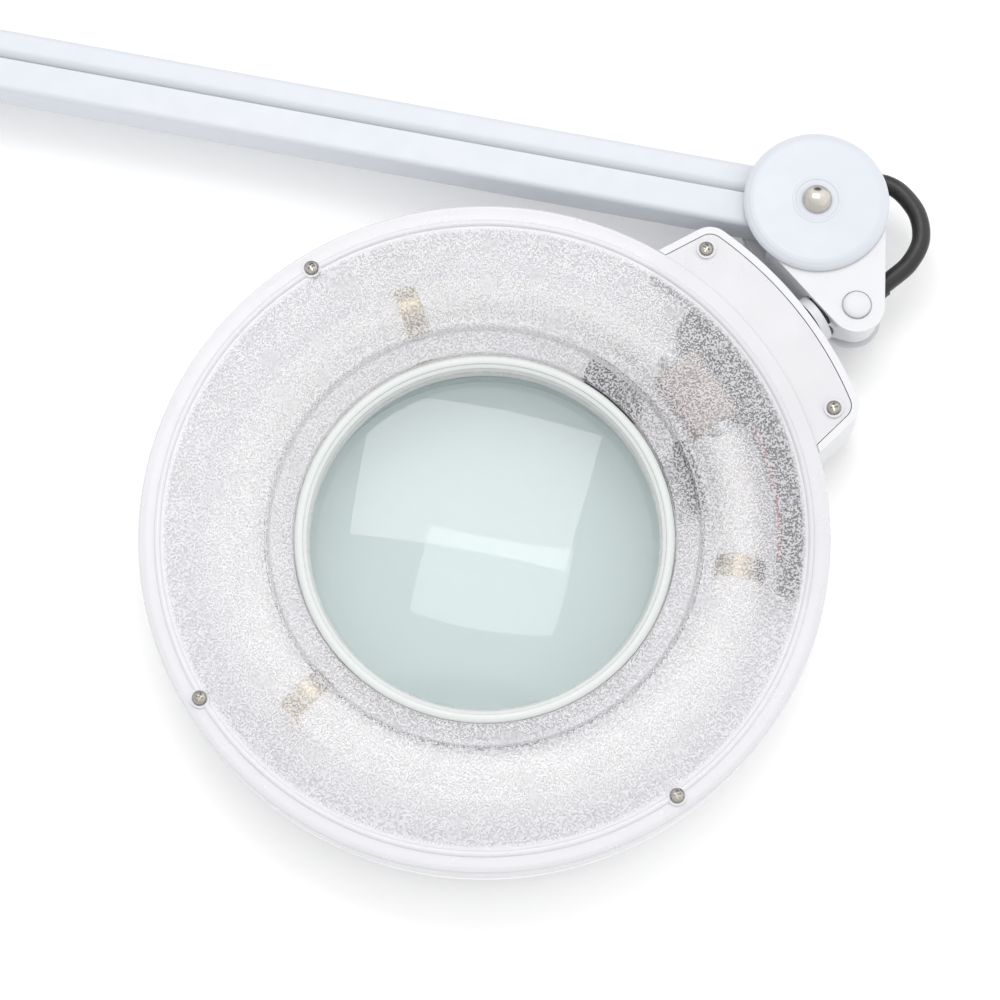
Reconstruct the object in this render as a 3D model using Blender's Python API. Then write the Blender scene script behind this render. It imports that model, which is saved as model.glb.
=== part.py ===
"""A magnifying lamp, folded and lying on its side: clamp, two parallelogram arms and a round lit head.

Metres, +Z up. The arms fold in the horizontal plane, so their pivots are vertical. Everything is laid
out from the joint at the head end of the upper arm, called the wrist, with +X along that arm away from
the elbow. The whole lamp hangs under one empty that carries it to the middle of its own footprint.
"""

import math

import bmesh
import bpy
from mathutils import Matrix, Vector

# ---------------------------------------------------------------- driving dimensions
GAP = 0.0003                # clearance between pieces that touch
MID = 0.022                 # height of the plane that halves the arms, the joints and the clamp
ARM = 0.400                 # pivot to pivot, on each arm section

LENS_RADIUS = 0.0635        # a five inch lens
LENS_CURVE = 0.346          # radius of each face, three dioptres
LENS_EDGE = 0.003
LENS_SEAT = 0.0023          # from the lens's middle plane to its seat, which clears the bulge inside the edge
HEAD_RADIUS = 0.1183
TUBE_RING_RADIUS = 0.086    # centre line of the circular fluorescent tube
TUBE_RADIUS = 0.008
TUBE_Z = 0.018

DISC_RADIUS = 0.0256        # round cover over each joint
DISC_THICK = 0.0032
CHEEK_RADIUS = 0.0245
KNUCKLE_HALF = 0.010        # half the width of a joint bracket, over its cheeks
SHEET = 0.002               # brackets
CHANNEL_SHEET = 0.0012
PIN_RADIUS = 0.002
BOLT_RADIUS = 0.0025
BORE = GAP                  # a bore is this much larger in radius than what turns in it

# ---------------------------------------------------------------- places in the plane
FOOTPRINT_MIDDLE = Vector((-0.1653, -0.0240, 0.0))
WRIST = Vector((0.0, 0.0))
ELBOW = WRIST - Vector((ARM, 0.0))
SHOULDER_ANGLE = math.radians(18.0)
ALONG_LOWER = Vector((math.cos(SHOULDER_ANGLE), math.sin(SHOULDER_ANGLE)))
ELBOW_SPAN = 0.0525                         # between the two joints of the elbow, which lie at 120 degrees
LOWER_ELBOW = ELBOW + ELBOW_SPAN * Vector((-0.5, math.sqrt(0.75)))
BASE = LOWER_ELBOW + ARM * ALONG_LOWER
TILT = Vector((0.0202, -0.0347))            # pin that the head tilts on
HEAD = Vector((-0.0914, -0.1408))           # centre of the lens
EAR_ANGLE = math.radians(47.5)              # where the housing reaches out to the arm
STEM_ANGLE = math.radians(46.0)             # the head turns about this radius
SWITCH_ANGLE = EAR_ANGLE + math.radians(90.0)
TUBE_CENTRE = HEAD + Vector((0.0022, 0.0044))

PIN_SPAN = 0.01867                          # between the two pivots at one end of an arm section
UPPER_PINS = math.radians(40.0)             # direction from the outer link's pivot to the inner link's
LOWER_PINS = math.radians(-44.5)

# ---------------------------------------------------------------- head heights and radii
RIM_TOP = 0.034
COVER_TOP = 0.036
EAR_TOP = 0.035
EAR_FLOOR = 0.010
EAR_RADIUS = 0.1375
EAR_SIDE = 0.0607            # from the lens centre to the line of each side
EAR_TAPER = math.radians(8.0)
EAR_CORNER = 0.008
SHELL = 0.0022
SCREW_PLACES = (
    (math.radians(133.5), 0.1125, COVER_TOP),
    (math.radians(222.5), 0.1125, COVER_TOP),
    (math.radians(316.0), 0.1125, COVER_TOP),
    (EAR_ANGLE + math.radians(16.4), 0.1283, EAR_TOP),
    (EAR_ANGLE - math.radians(16.4), 0.1283, EAR_TOP),
)
CLIP_ANGLES = (math.radians(121.0), math.radians(1.8), math.radians(233.6))
SOCKET_ANGLE = math.radians(45.5)
SCREW_BORE = 0.0017
ROCKER_AXIS_Z = 0.0125
LENS_Z = 0.018

# ---------------------------------------------------------------- clamp, along the arm and across it
SPIGOT_RADIUS = 0.006
SPIGOT_FROM, SPIGOT_TO = 0.030, 0.090
JAW_TOP_X = 0.050
JAW_BOTTOM_X = 0.118
JAW_THICK = 0.007
JAW_REACH = -0.058
SCREW_Y = -0.040
SCREW_RADIUS = 0.005
PAD_X = 0.080
PAD_THICK = 0.005

# ---------------------------------------------------------------- lead
LEAD_RADIUS = 0.00325
LEAD_STEP = 0.0085          # between the points of a bent lead
GROMMET_X = 0.360           # where the lead enters the lower arm, along its outer link
HEAD_LEAD_ROUTE = (
    (0.0168, 0.0152, MID), (0.0232, 0.0156, MID), (0.0296, 0.0130, MID), (0.0362, 0.0062, MID),
    (0.0388, -0.0030, MID), (0.0362, -0.0122, MID), (0.0310, -0.0192, MID), (0.0260, -0.0248, MID),
)
CLIP_RADIUS = 0.0041        # of the sleeve that holds each end of the head's lead
CLIP_LENGTH = 0.0036
CLIP_FOOT = 0.0020          # half the width of the foot under the sleeve
CLIP_LUG = 0.0044           # of the round lug on the knuckle under the first clip

# ---------------------------------------------------------------- arm channels
OUTER_HALF = 0.0077         # half the height of the outer link's channel
INNER_HALF = 0.0055
WEB = 0.006                 # from a link's pivots to the back of its channel
OUTER_FLANGE = 0.006        # from the pivots to the edges of its flanges
INNER_FLANGE = 0.012
BEND = 0.002
EYE = 0.0055                # radius of a link's end round its pivot
OUTER_NOTCH = (0.0135, 0.0020)      # how far back an end is notched, and the level it is notched to
INNER_NOTCH = (0.0225, 0.0016)

# ---------------------------------------------------------------- fineness
RIM_SIDES = 48
LENS_SIDES = 40
DISC_SIDES = 24
BORE_SIDES = 10


def clear_scene():
    for obj in list(bpy.data.objects):
        bpy.data.objects.remove(obj, do_unlink=True)


# ================================================================ materials

def paint(name, colour, roughness, metallic=0.0):
    material = bpy.data.materials.new(name)
    material.use_nodes = True
    shader = material.node_tree.nodes["Principled BSDF"]
    shader.inputs["Base Color"].default_value = (*colour, 1.0)
    shader.inputs["Roughness"].default_value = roughness
    shader.inputs["Metallic"].default_value = metallic
    return material


# ================================================================ mesh builders

def polar(centre, radius, angle):
    return centre + radius * Vector((math.cos(angle), math.sin(angle)))


def arc(centre, radius, start, end, steps):
    """Points on an arc, both ends included."""
    return [polar(centre, radius, start + (end - start) * i / steps) for i in range(steps + 1)]


def turned(profile, segments, closed=True):
    """A profile of (radius, height) points revolved about Z. A radius of 0 is one point on the axis."""
    mesh = bmesh.new()
    rings = []
    for radius, height in profile:
        if radius < 1e-9:
            rings.append([mesh.verts.new((0.0, 0.0, height))])
            continue
        ring = []
        for i in range(segments):
            angle = 2.0 * math.pi * i / segments
            ring.append(mesh.verts.new((radius * math.cos(angle), radius * math.sin(angle), height)))
        rings.append(ring)
    pairs = list(zip(rings, rings[1:]))
    if closed:
        pairs.append((rings[-1], rings[0]))
    for lower, upper in pairs:
        for i in range(segments):
            j = (i + 1) % segments
            corners = [lower[i % len(lower)], lower[j % len(lower)], upper[j % len(upper)], upper[i % len(upper)]]
            corners = list(dict.fromkeys(corners))
            if len(corners) > 2:
                mesh.faces.new(corners)
    bmesh.ops.recalc_face_normals(mesh, faces=mesh.faces)
    return mesh


def plate(outline, bottom, top):
    """An outline in XY raised into a solid between two heights."""
    mesh = bmesh.new()
    lower = [mesh.verts.new((p[0], p[1], bottom)) for p in outline]
    upper = [mesh.verts.new((p[0], p[1], top)) for p in outline]
    mesh.faces.new(lower)
    mesh.faces.new(upper)
    for i in range(len(outline)):
        j = (i + 1) % len(outline)
        mesh.faces.new((lower[i], lower[j], upper[j], upper[i]))
    bmesh.ops.recalc_face_normals(mesh, faces=mesh.faces)
    return mesh


def box(x0, x1, y0, y1, z0, z1):
    return plate([(x0, y0), (x1, y0), (x1, y1), (x0, y1)], z0, z1)


def disc(radius, bottom, top, segments=24):
    return plate(arc(Vector((0.0, 0.0)), radius, 0.0, 2.0 * math.pi * (1 - 1 / segments), segments - 1), bottom, top)


def rod(start, end, radius, segments=14):
    start, end = Vector(start), Vector(end)
    turn = (end - start).to_track_quat("Z", "Y").to_matrix().to_4x4()
    return moved(disc(radius, 0.0, (end - start).length, segments), Matrix.Translation(start) @ turn)


def moved(mesh, matrix):
    bmesh.ops.transform(mesh, matrix=matrix, verts=mesh.verts)
    return mesh


def at(point, angle=0.0, z=0.0):
    """The matrix of a local frame whose X axis points at an angle in the plane."""
    return Matrix.Translation((point[0], point[1], z)) @ Matrix.Rotation(angle, 4, "Z")


def joined(*meshes):
    """Several closed solids in one mesh, for a cutter or for something a Boolean will unite."""
    whole = bmesh.new()
    for mesh in meshes:
        loose = bpy.data.meshes.new("loose")
        mesh.to_mesh(loose)
        mesh.free()
        whole.from_mesh(loose)
        bpy.data.meshes.remove(loose)
    return whole


def hull(a, radius_a, b, radius_b, steps=7):
    """The outline round two circles and the two lines that touch both."""
    reach = b - a
    heading = math.atan2(reach.y, reach.x)
    lean = math.acos((radius_a - radius_b) / reach.length)
    far = arc(b, radius_b, heading - lean, heading + lean, steps)
    near = arc(a, radius_a, heading + lean, heading + 2.0 * math.pi - lean, 2 * steps)
    return far + near


# ================================================================ objects

class Lamp:
    """Keeps the empties that the bodies hang from, and adds solids to them."""

    def __init__(self):
        self.places = {}
        self.pivots = {}
        self.root = self.add_empty("magnifying_lamp", None, -FOOTPRINT_MIDDLE)
        self.helpers = 0

    def add_empty(self, name, parent, local):
        empty = bpy.data.objects.new(name, None)
        empty.empty_display_size = 0.02
        empty.parent = parent
        empty.location = local
        bpy.context.scene.collection.objects.link(empty)
        return empty

    def pivot(self, body, parent, place, height=MID):
        """An empty on a body's joint axis, under the empty of the body that carries it."""
        place = Vector((place[0], place[1], height))
        parent_place = self.places.get(parent, Vector((0.0, 0.0, 0.0)))
        empty = self.add_empty(body + "_pivot", self.pivots.get(parent, self.root), place - parent_place)
        self.places[body] = place
        self.pivots[body] = empty

    def link(self, name, mesh, body):
        data = bpy.data.meshes.new(name)
        mesh.to_mesh(data)
        mesh.free()
        obj = bpy.data.objects.new(name, data)
        obj.parent = self.pivots[body]
        obj.location = -self.places[body]
        bpy.context.scene.collection.objects.link(obj)
        return obj

    def add(self, name, mesh, body, material, smooth=35.0):
        obj = self.link(name, mesh, body)
        obj.data.materials.append(material)
        obj.data.shade_smooth()
        obj.data.set_sharp_from_angle(angle=math.radians(smooth))
        return obj

    def helper(self, mesh, body):
        self.helpers += 1
        obj = self.link(f"helper_{self.helpers}", mesh, body)
        obj.hide_render = True
        obj.display_type = "WIRE"
        return obj

    def combine(self, obj, mesh, body, operation):
        modifier = obj.modifiers.new(operation.lower(), "BOOLEAN")
        modifier.operation = operation
        modifier.object = self.helper(mesh, body)

    def unite(self, obj, mesh, body):
        self.combine(obj, mesh, body, "UNION")

    def cut(self, obj, mesh, body):
        self.combine(obj, mesh, body, "DIFFERENCE")


# ================================================================ joints of the arm

def pin_places(centre, direction):
    half = 0.5 * PIN_SPAN * Vector((math.cos(direction), math.sin(direction)))
    return centre - half, centre + half


def pin_bores(joints):
    """Cutters for the two pins and the bolt of each joint."""
    bores = []
    for centre, direction in joints:
        for place in pin_places(centre, direction):
            bores.append(moved(disc(PIN_RADIUS + BORE, 0.0, 2 * MID, BORE_SIDES), at(place)))
        bores.append(moved(disc(BOLT_RADIUS + BORE, 0.0, 2 * MID, BORE_SIDES), at(centre)))
    return joined(*bores)


def cheeks(outline):
    outer = KNUCKLE_HALF
    return [plate(outline, MID - outer, MID - outer + SHEET), plate(outline, MID + outer - SHEET, MID + outer)]


def bracket(lamp, name, outline, bridge, joints, body, material):
    """Two cheeks held apart by a bridge, with the bores of its joints."""
    lower, upper = cheeks(outline)
    obj = lamp.add(name, lower, body, material)
    lamp.unite(obj, bridge, body)
    lamp.unite(obj, upper, body)
    lamp.cut(obj, pin_bores(joints), body)
    return obj


def joint_hardware(lamp, prefix, centre, direction, body, body_pins, metal, white):
    """The two cover discs, the bolt between them and the two pins of one joint."""
    profile = [
        (BOLT_RADIUS + BORE, 0.0), (DISC_RADIUS, 0.0), (DISC_RADIUS, 0.0013),
        (DISC_RADIUS - 0.0024, DISC_THICK), (BOLT_RADIUS + BORE, DISC_THICK),
    ]
    for side, sign in (("front", 1.0), ("back", -1.0)):
        face = MID + sign * (KNUCKLE_HALF + GAP)
        mesh = turned([(r, face + sign * z) for r, z in profile], DISC_SIDES)
        lamp.add(f"{prefix}_disc_{side}", moved(mesh, at(centre)), body, white)
    lamp.add(f"{prefix}_bolt", moved(turned(bolt_profile(), 14, closed=False), at(centre)), body, metal)
    for place, label in zip(pin_places(centre, direction), ("outer", "inner")):
        reach = KNUCKLE_HALF + GAP / 2
        mesh = disc(PIN_RADIUS, MID - reach, MID + reach, BORE_SIDES)
        lamp.add(f"{prefix}_pin_{label}", moved(mesh, at(place)), body_pins, metal)


def bolt_profile():
    """A bolt with a dome at each end, from its bottom to its top."""
    seat = KNUCKLE_HALF + DISC_THICK + 2 * GAP
    dome = 0.0052
    steps = 3
    curve = [(dome * math.cos(a), 0.0034 * math.sin(a)) for a in (i * math.pi / 2 / steps for i in range(steps))]
    top = [(r, MID + seat + z) for r, z in curve] + [(0.0, MID + seat + 0.0034)]
    bottom = [(r, MID - seat - z) for r, z in curve] + [(0.0, MID - seat - 0.0034)]
    shaft = [(BOLT_RADIUS, MID - seat), (BOLT_RADIUS, MID + seat)]
    return bottom[::-1] + shaft + top


# ================================================================ arm channels

def channel_section(half_height, web, flange_edge, toward):
    """A U section: the web at one y, flanges reaching to the other, round bends between them."""
    corner = Vector((web + toward * BEND, half_height - BEND))
    outer = []
    inner = []
    for i in range(3):
        angle = math.radians(45.0 * i)
        way = Vector((-toward * math.cos(angle), math.sin(angle)))
        outer.append(corner + BEND * way)
        inner.append(corner + (BEND - CHANNEL_SHEET) * way)
    upper = outer + [Vector((flange_edge, half_height)), Vector((flange_edge, half_height - CHANNEL_SHEET))]
    upper += inner[::-1]
    return upper + [Vector((p.x, -p.y)) for p in reversed(upper)]


def channel(start, end, section):
    """A section in (y, z) drawn out along X."""
    axes = Matrix(((0.0, 0.0, 1.0, 0.0), (1.0, 0.0, 0.0, 0.0), (0.0, 1.0, 0.0, 0.0), (0.0, 0.0, 0.0, 1.0)))
    mesh = plate(section, start, end)
    return moved(mesh, Matrix.Translation((0.0, 0.0, MID)) @ axes)


def eye_cutter(pin_x, outward, web, flange, notch_from, notch_level):
    """What comes off one end of a channel, so that its end is a rounded eye with its flange edge set back."""
    side = 1.0 if flange > web else -1.0
    past = pin_x + outward * 0.012
    beyond = flange + side * 0.004
    behind = web - side * 0.002
    points = [Vector((pin_x - outward * notch_from, beyond)),
              Vector((pin_x - outward * (notch_from - 0.001), side * notch_level))]
    start = math.pi - math.asin(notch_level / EYE)
    steps = 6
    for i in range(steps + 1):
        angle = start * (1.0 - i / steps)
        points.append(Vector((pin_x + outward * EYE * math.cos(angle), side * EYE * math.sin(angle))))
    points += [Vector((pin_x + outward * EYE, behind)), Vector((past, behind)), Vector((past, beyond))]
    return plate(points, 0.0, 2 * MID)


def arm_channel(lamp, name, body, frame, half_height, web, flange, notch, material):
    """One link: a channel with an eye round the pivot at each end, in a frame whose X runs along the arm."""
    toward = 1.0 if flange > web else -1.0
    section = channel_section(half_height, web, flange, toward)
    obj = lamp.add(name, moved(channel(-0.0075, ARM + 0.0075, section), frame), body, material)
    for pin_x, outward in ((0.0, -1.0), (ARM, 1.0)):
        lamp.cut(obj, moved(eye_cutter(pin_x, outward, web, flange, *notch), frame), body)
    bores = [moved(disc(PIN_RADIUS + BORE, 0.0, 2 * MID, BORE_SIDES), frame @ at((x, 0.0))) for x in (0.0, ARM)]
    lamp.cut(obj, joined(*bores), body)
    return obj


def arm_section(lamp, prefix, pins, angle, swap, white, steel, black):
    """The two nested links of one arm section, with the spring and the lead inside them.

    pins holds the outer and inner pivots at the elbow end. swap is -1 where the outer link lies on
    the right of the direction from the elbow, else +1.
    """
    outer_frame, inner_frame = (at(pin, angle) for pin in pins)
    outer_body, inner_body = f"{prefix}_outer", f"{prefix}_inner"
    outer = arm_channel(lamp, f"{prefix}_arm_outer", outer_body, outer_frame, OUTER_HALF,
                        swap * WEB, -swap * OUTER_FLANGE, OUTER_NOTCH, white)
    arm_channel(lamp, f"{prefix}_arm_inner", inner_body, inner_frame, INNER_HALF,
                -swap * WEB, swap * INNER_FLANGE, INNER_NOTCH, white)
    spring(lamp, f"{prefix}_spring", inner_body, inner_frame @ at((0.0, swap * 0.0035)), steel)
    beside = swap * (WEB - CHANNEL_SHEET - GAP - LEAD_RADIUS)
    inside = rod((0.014, beside, MID), (GROMMET_X + 0.010, beside, MID), LEAD_RADIUS, 8)
    lamp.add(f"{prefix}_arm_lead", moved(inside, outer_frame), outer_body, black)
    return outer


def lead_grommet(lamp, channel_obj, frame, black):
    """The rubber bush in the back of the lower arm, where the mains lead goes in."""
    into = Matrix.Translation((GROMMET_X, WEB, MID)) @ Matrix.Rotation(-math.pi / 2, 4, "X")
    hole = moved(disc(0.0046, -0.0030, 0.0010, 12), frame @ into)
    lamp.cut(channel_obj, hole, "lower_outer")
    profile = [(0.0034, -0.0014), (0.0043, -0.0014), (0.0043, GAP), (0.0056, GAP), (0.0050, 0.0028), (0.0034, 0.0032)]
    lamp.add("lead_grommet", moved(turned(profile, 12), frame @ into), "lower_outer", black)


def spring(lamp, name, body, frame, steel):
    """The closed coils of a tension spring with a straight hook wire at each end."""
    wire, coil = 0.0008, 0.0037
    profile = [(0.0, 0.030), (wire, 0.030), (wire, 0.052), (coil, 0.055), (coil, 0.185), (wire, 0.188),
               (wire, 0.212), (0.0, 0.212)]
    lie_down = Matrix.Rotation(math.pi / 2, 4, "Y")
    mesh = moved(turned(profile, 10, closed=False), frame @ Matrix.Translation((0.0, 0.0, MID)) @ lie_down)
    lamp.add(name, mesh, body, steel)


# ================================================================ brackets

def head_bracket(lamp, white):
    """The knuckle at the wrist, which narrows to the pin that the head tilts on."""
    narrow = 0.0098
    outline = hull(WRIST, CHEEK_RADIUS, TILT, narrow)
    reach = TILT - WRIST
    heading = math.atan2(reach.y, reach.x)
    lean = math.acos((CHEEK_RADIUS - narrow) / reach.length)
    normal = Vector((math.cos(heading - lean), math.sin(heading - lean)))
    along = Vector((-normal.y, normal.x))
    start = WRIST + (CHEEK_RADIUS - GAP) * normal
    web = [start + 0.001 * along, start + 0.024 * along]
    web += [p - SHEET * normal for p in reversed(web)]
    bridge = plate(web, MID - KNUCKLE_HALF + SHEET / 2, MID + KNUCKLE_HALF - SHEET / 2)
    obj = bracket(lamp, "head_bracket", outline, bridge, [(WRIST, UPPER_PINS)], "head_bracket", white)
    lug_place = Vector(HEAD_LEAD_ROUTE[0][:2]) + Vector((0.5 * CLIP_LENGTH, 0.0))
    floor = MID - KNUCKLE_HALF
    lamp.unite(obj, moved(disc(CLIP_LUG, floor, floor + SHEET), at(lug_place)), "head_bracket")
    lamp.cut(obj, moved(disc(0.003 + BORE, 0.0, 2 * MID, BORE_SIDES), at(TILT)), "head_bracket")


def elbow_bracket(lamp, white):
    outline = hull(ELBOW, CHEEK_RADIUS, LOWER_ELBOW, CHEEK_RADIUS)
    along = (LOWER_ELBOW - ELBOW).normalized()
    normal = Vector((-along.y, along.x))
    web = [ELBOW + (CHEEK_RADIUS - GAP) * normal, LOWER_ELBOW + (CHEEK_RADIUS - GAP) * normal]
    web += [p - SHEET * normal for p in reversed(web)]
    bridge = plate(web, MID - KNUCKLE_HALF + SHEET / 2, MID + KNUCKLE_HALF - SHEET / 2)
    joints = [(ELBOW, UPPER_PINS), (LOWER_ELBOW, LOWER_PINS)]
    bracket(lamp, "elbow_bracket", outline, bridge, joints, "elbow_bracket", white)


def base_bracket(lamp, white, steel):
    frame = at(BASE, SHOULDER_ANGLE)
    outline = hull(BASE, CHEEK_RADIUS, BASE + 0.034 * ALONG_LOWER, 0.0113)
    block = moved(box(0.027, 0.044, -0.0095, 0.0095, MID - KNUCKLE_HALF + 0.001, MID + KNUCKLE_HALF - 0.001), frame)
    obj = bracket(lamp, "base_bracket", outline, block, [(BASE, LOWER_PINS)], "base_bracket", white)
    bore = rod((SPIGOT_FROM - GAP, 0.0, MID), (0.060, 0.0, MID), SPIGOT_RADIUS + BORE)
    lamp.cut(obj, moved(bore, frame), "base_bracket")
    spigot = rod((SPIGOT_FROM, 0.0, MID), (SPIGOT_TO, 0.0, MID), SPIGOT_RADIUS)
    lamp.add("spigot", moved(spigot, frame), "base_bracket", steel)


# ================================================================ clamp

def clamp(lamp, white, steel, rubber):
    frame = at(BASE, SHOULDER_ANGLE)
    jaw_top, jaw_bottom = JAW_TOP_X, JAW_BOTTOM_X
    outline = [
        (jaw_top, -0.006), (jaw_top, JAW_REACH), (jaw_top + JAW_THICK, JAW_REACH), (jaw_top + JAW_THICK, -0.013),
        (jaw_bottom, -0.013), (jaw_bottom, JAW_REACH), (jaw_bottom + JAW_THICK, JAW_REACH),
        (jaw_bottom + JAW_THICK, -0.006),
    ]
    body = lamp.add("clamp_body", moved(plate(outline, 0.0, 2 * MID), frame), "root", white)
    lamp.unite(body, moved(box(0.046, 0.096, -0.0125, 0.013, 0.009, 0.035), frame), "root")
    bores = joined(
        rod((0.040, 0.0, MID), (SPIGOT_TO + 2 * GAP, 0.0, MID), SPIGOT_RADIUS + BORE),
        rod((jaw_bottom - 0.002, SCREW_Y, MID), (jaw_bottom + 0.010, SCREW_Y, MID), SCREW_RADIUS + BORE),
    )
    lamp.cut(body, moved(bores, frame), "root")

    screw_from = PAD_X + PAD_THICK + GAP
    screw = rod((screw_from, SCREW_Y, MID), (0.158, SCREW_Y, MID), SCREW_RADIUS)
    screw = lamp.add("clamp_screw", moved(screw, frame), "clamp_screw", steel)
    handle = rod((0.151, SCREW_Y - 0.026, MID), (0.151, SCREW_Y + 0.026, MID), 0.0032, 12)
    lamp.unite(screw, moved(handle, frame), "clamp_screw")

    lie_down = Matrix.Translation((PAD_X, SCREW_Y, MID)) @ Matrix.Rotation(math.pi / 2, 4, "Y")
    profile = [(0.0, 0.0), (0.0130, 0.0), (0.0140, 0.001), (0.0140, 0.0025), (0.0085, PAD_THICK), (0.0, PAD_THICK)]
    lamp.add("clamp_pad", moved(turned(profile, 18, closed=False), frame @ lie_down), "clamp_pad", rubber)


# ================================================================ head

def housing_profile():
    """The shell from the lens seat, over the back, up the shoulder to the rim, and back inside."""
    shoulder = Vector((0.0985, 0.0185))
    outer = arc(shoulder, 0.0185, math.radians(-90.0), 0.0, 4)
    inner = arc(shoulder, 0.0185 - SHELL, 0.0, math.radians(-90.0), 3)
    collar_in, collar_out = 0.0610, 0.0660
    seat = LENS_Z - LENS_SEAT
    profile = [(collar_in, 0.0)] + [(p.x, p.y) for p in outer]
    profile += [(HEAD_RADIUS, RIM_TOP), (HEAD_RADIUS - SHELL, RIM_TOP)]
    profile += [(p.x, p.y) for p in inner]
    profile += [(collar_out, SHELL), (collar_out, 0.0220), (0.0640, 0.0220), (0.0640, seat), (collar_in, seat)]
    return profile


def ear_outline(inset, root_radius):
    """The part of the head that reaches out to the arm, seen from above.

    Two sides that draw in towards an arc about the lens centre, with a round corner between each side
    and the arc. The corner's centre is one corner radius inside both.
    """
    origin = Vector((0.0, 0.0))
    normal = Vector((math.sin(EAR_TAPER), math.cos(EAR_TAPER)))
    along = Vector((math.cos(EAR_TAPER), -math.sin(EAR_TAPER)))
    side = EAR_SIDE - inset
    corner = EAR_CORNER - inset
    tip = EAR_RADIUS - inset
    centre = (side - corner) * normal + math.sqrt((tip - corner) ** 2 - (side - corner) ** 2) * along
    root = side * normal + math.sqrt(root_radius**2 - side**2) * along
    lean = math.atan2(centre.y, centre.x)
    spread = math.atan2(root.y, root.x)
    left = arc(centre, corner, lean, math.atan2(normal.y, normal.x), 3) + [root]
    right = [Vector((p.x, -p.y)) for p in reversed(left)]
    outline = right + arc(origin, tip, -lean, lean, 6)[1:-1] + left
    outline += arc(origin, root_radius, spread, -spread, 6)[1:-1]
    frame = at(HEAD, EAR_ANGLE)
    return [(frame @ p.to_3d()).to_2d() for p in outline]


def posts(bottom, top, radius, segments):
    return joined(*[moved(disc(radius, bottom, t + top, segments), at(polar(HEAD, r, a)))
                    for a, r, t in SCREW_PLACES])


def head_housing(lamp, white):
    obj = lamp.add("head_housing", moved(turned(housing_profile(), RIM_SIDES), at(HEAD)), "head", white)
    lamp.unite(obj, plate(ear_outline(0.0, 0.1138), EAR_FLOOR, EAR_TOP), "head")
    lamp.cut(obj, plate(ear_outline(SHELL + GAP, 0.1050), EAR_FLOOR + SHELL, EAR_TOP + 0.005), "head")
    rim_seat = [(0.1080, RIM_TOP + 0.0001), (HEAD_RADIUS + GAP, RIM_TOP + 0.0001), (HEAD_RADIUS + GAP, 0.040),
                (0.1080, 0.040)]
    lamp.cut(obj, moved(turned(rim_seat, RIM_SIDES), at(HEAD)), "head")
    lamp.unite(obj, posts(0.0115, -0.0030, 0.0034, 8), "head")
    lamp.cut(obj, posts(0.0160, 0.0, SCREW_BORE, 8), "head")
    stem = rod(on_stem(0.1300), on_stem(0.1420), 0.005 + BORE)
    opening = moved(box(-0.0093, 0.0093, -0.0067, 0.0067, 0.006, 0.016), at(switch_place(), SWITCH_ANGLE))
    lamp.cut(obj, joined(stem, opening), "head")


def on_stem(radius):
    """A point on the axis that the head turns about."""
    point = polar(HEAD, radius, STEM_ANGLE)
    return point.x, point.y, MID


def switch_place():
    return polar(HEAD, 0.1255, EAR_ANGLE - math.radians(10.3))


def diffuser(lamp, frosted):
    """The frosted ring over the tube, with a raised line in its rim and a step down to the lens, and the
    cover of the ear."""
    top = [
        (HEAD_RADIUS, COVER_TOP), (0.1127, COVER_TOP), (0.1118, 0.0370), (0.1108, COVER_TOP), (0.0920, 0.0355),
        (0.0770, 0.0334), (0.0745, 0.0328), (0.0740, 0.0312), (0.0668, 0.0302), (0.0660, 0.0296),
    ]
    bottom = [(0.0660, 0.0284), (0.0750, 0.0292), (0.0758, 0.0312), (0.0920, 0.0338), (0.1120, RIM_TOP + GAP),
              (HEAD_RADIUS, RIM_TOP + GAP)]
    obj = lamp.add("diffuser", moved(turned(top + bottom, RIM_SIDES), at(HEAD)), "head", frosted)
    lamp.unite(obj, plate(ear_outline(SHELL + 2 * GAP, 0.1136), 0.0328, EAR_TOP - 0.0002), "head")
    lamp.cut(obj, posts(0.0300, 0.001, SCREW_BORE, 8), "head")
    lamp.cut(obj, rim_recesses(), "head")


def rim_recesses():
    """Flat seats that break the raised line where the rim screws sit."""
    return joined(*[moved(disc(0.0032, COVER_TOP - 0.0002, 0.040, 10), at(polar(HEAD, r, a)))
                    for a, r, _ in SCREW_PLACES[:3]])


def diffuser_screws(lamp, nickel):
    """Pan-head screws, three in the rim and two in the ear."""
    for i, (angle, radius, seat) in enumerate(SCREW_PLACES, 1):
        under = seat + GAP / 2 if seat == COVER_TOP else seat
        profile = [(0.0, under - 0.0130), (0.0013, under - 0.0120), (0.0013, under), (0.0023, under),
                   (0.0023, under + 0.0007), (0.0016, under + 0.0015), (0.0, under + 0.0017)]
        mesh = moved(turned(profile, 8, closed=False), at(polar(HEAD, radius, angle)))
        lamp.add(f"diffuser_screw_{i}", mesh, "head", nickel)


def lens(lamp, glass):
    half = LENS_EDGE / 2
    steps = 3
    depth = LENS_CURVE - math.sqrt(LENS_CURVE**2 - LENS_RADIUS**2)
    face = []
    for i in range(steps + 1):
        r = LENS_RADIUS * (1 - i / steps)
        face.append((r, half + depth - (LENS_CURVE - math.sqrt(LENS_CURVE**2 - r * r))))
    profile = [(r, LENS_Z - z) for r, z in reversed(face)] + [(r, LENS_Z + z) for r, z in face]
    lamp.add("lens", moved(turned(profile, LENS_SIDES, closed=False), at(HEAD)), "head", glass)


def lens_ring(lamp, white):
    """The threaded ring that holds the lens down on its seat."""
    low = LENS_Z + LENS_SEAT
    profile = [(0.0612, low), (0.0637, low), (0.0637, 0.0223), (0.0652, 0.0223), (0.0652, 0.0282),
               (0.0618, 0.0290), (0.0603, 0.0284), (0.0603, 0.0256)]
    lamp.add("lens_ring", moved(turned(profile, LENS_SIDES), at(HEAD)), "head", white)


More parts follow.
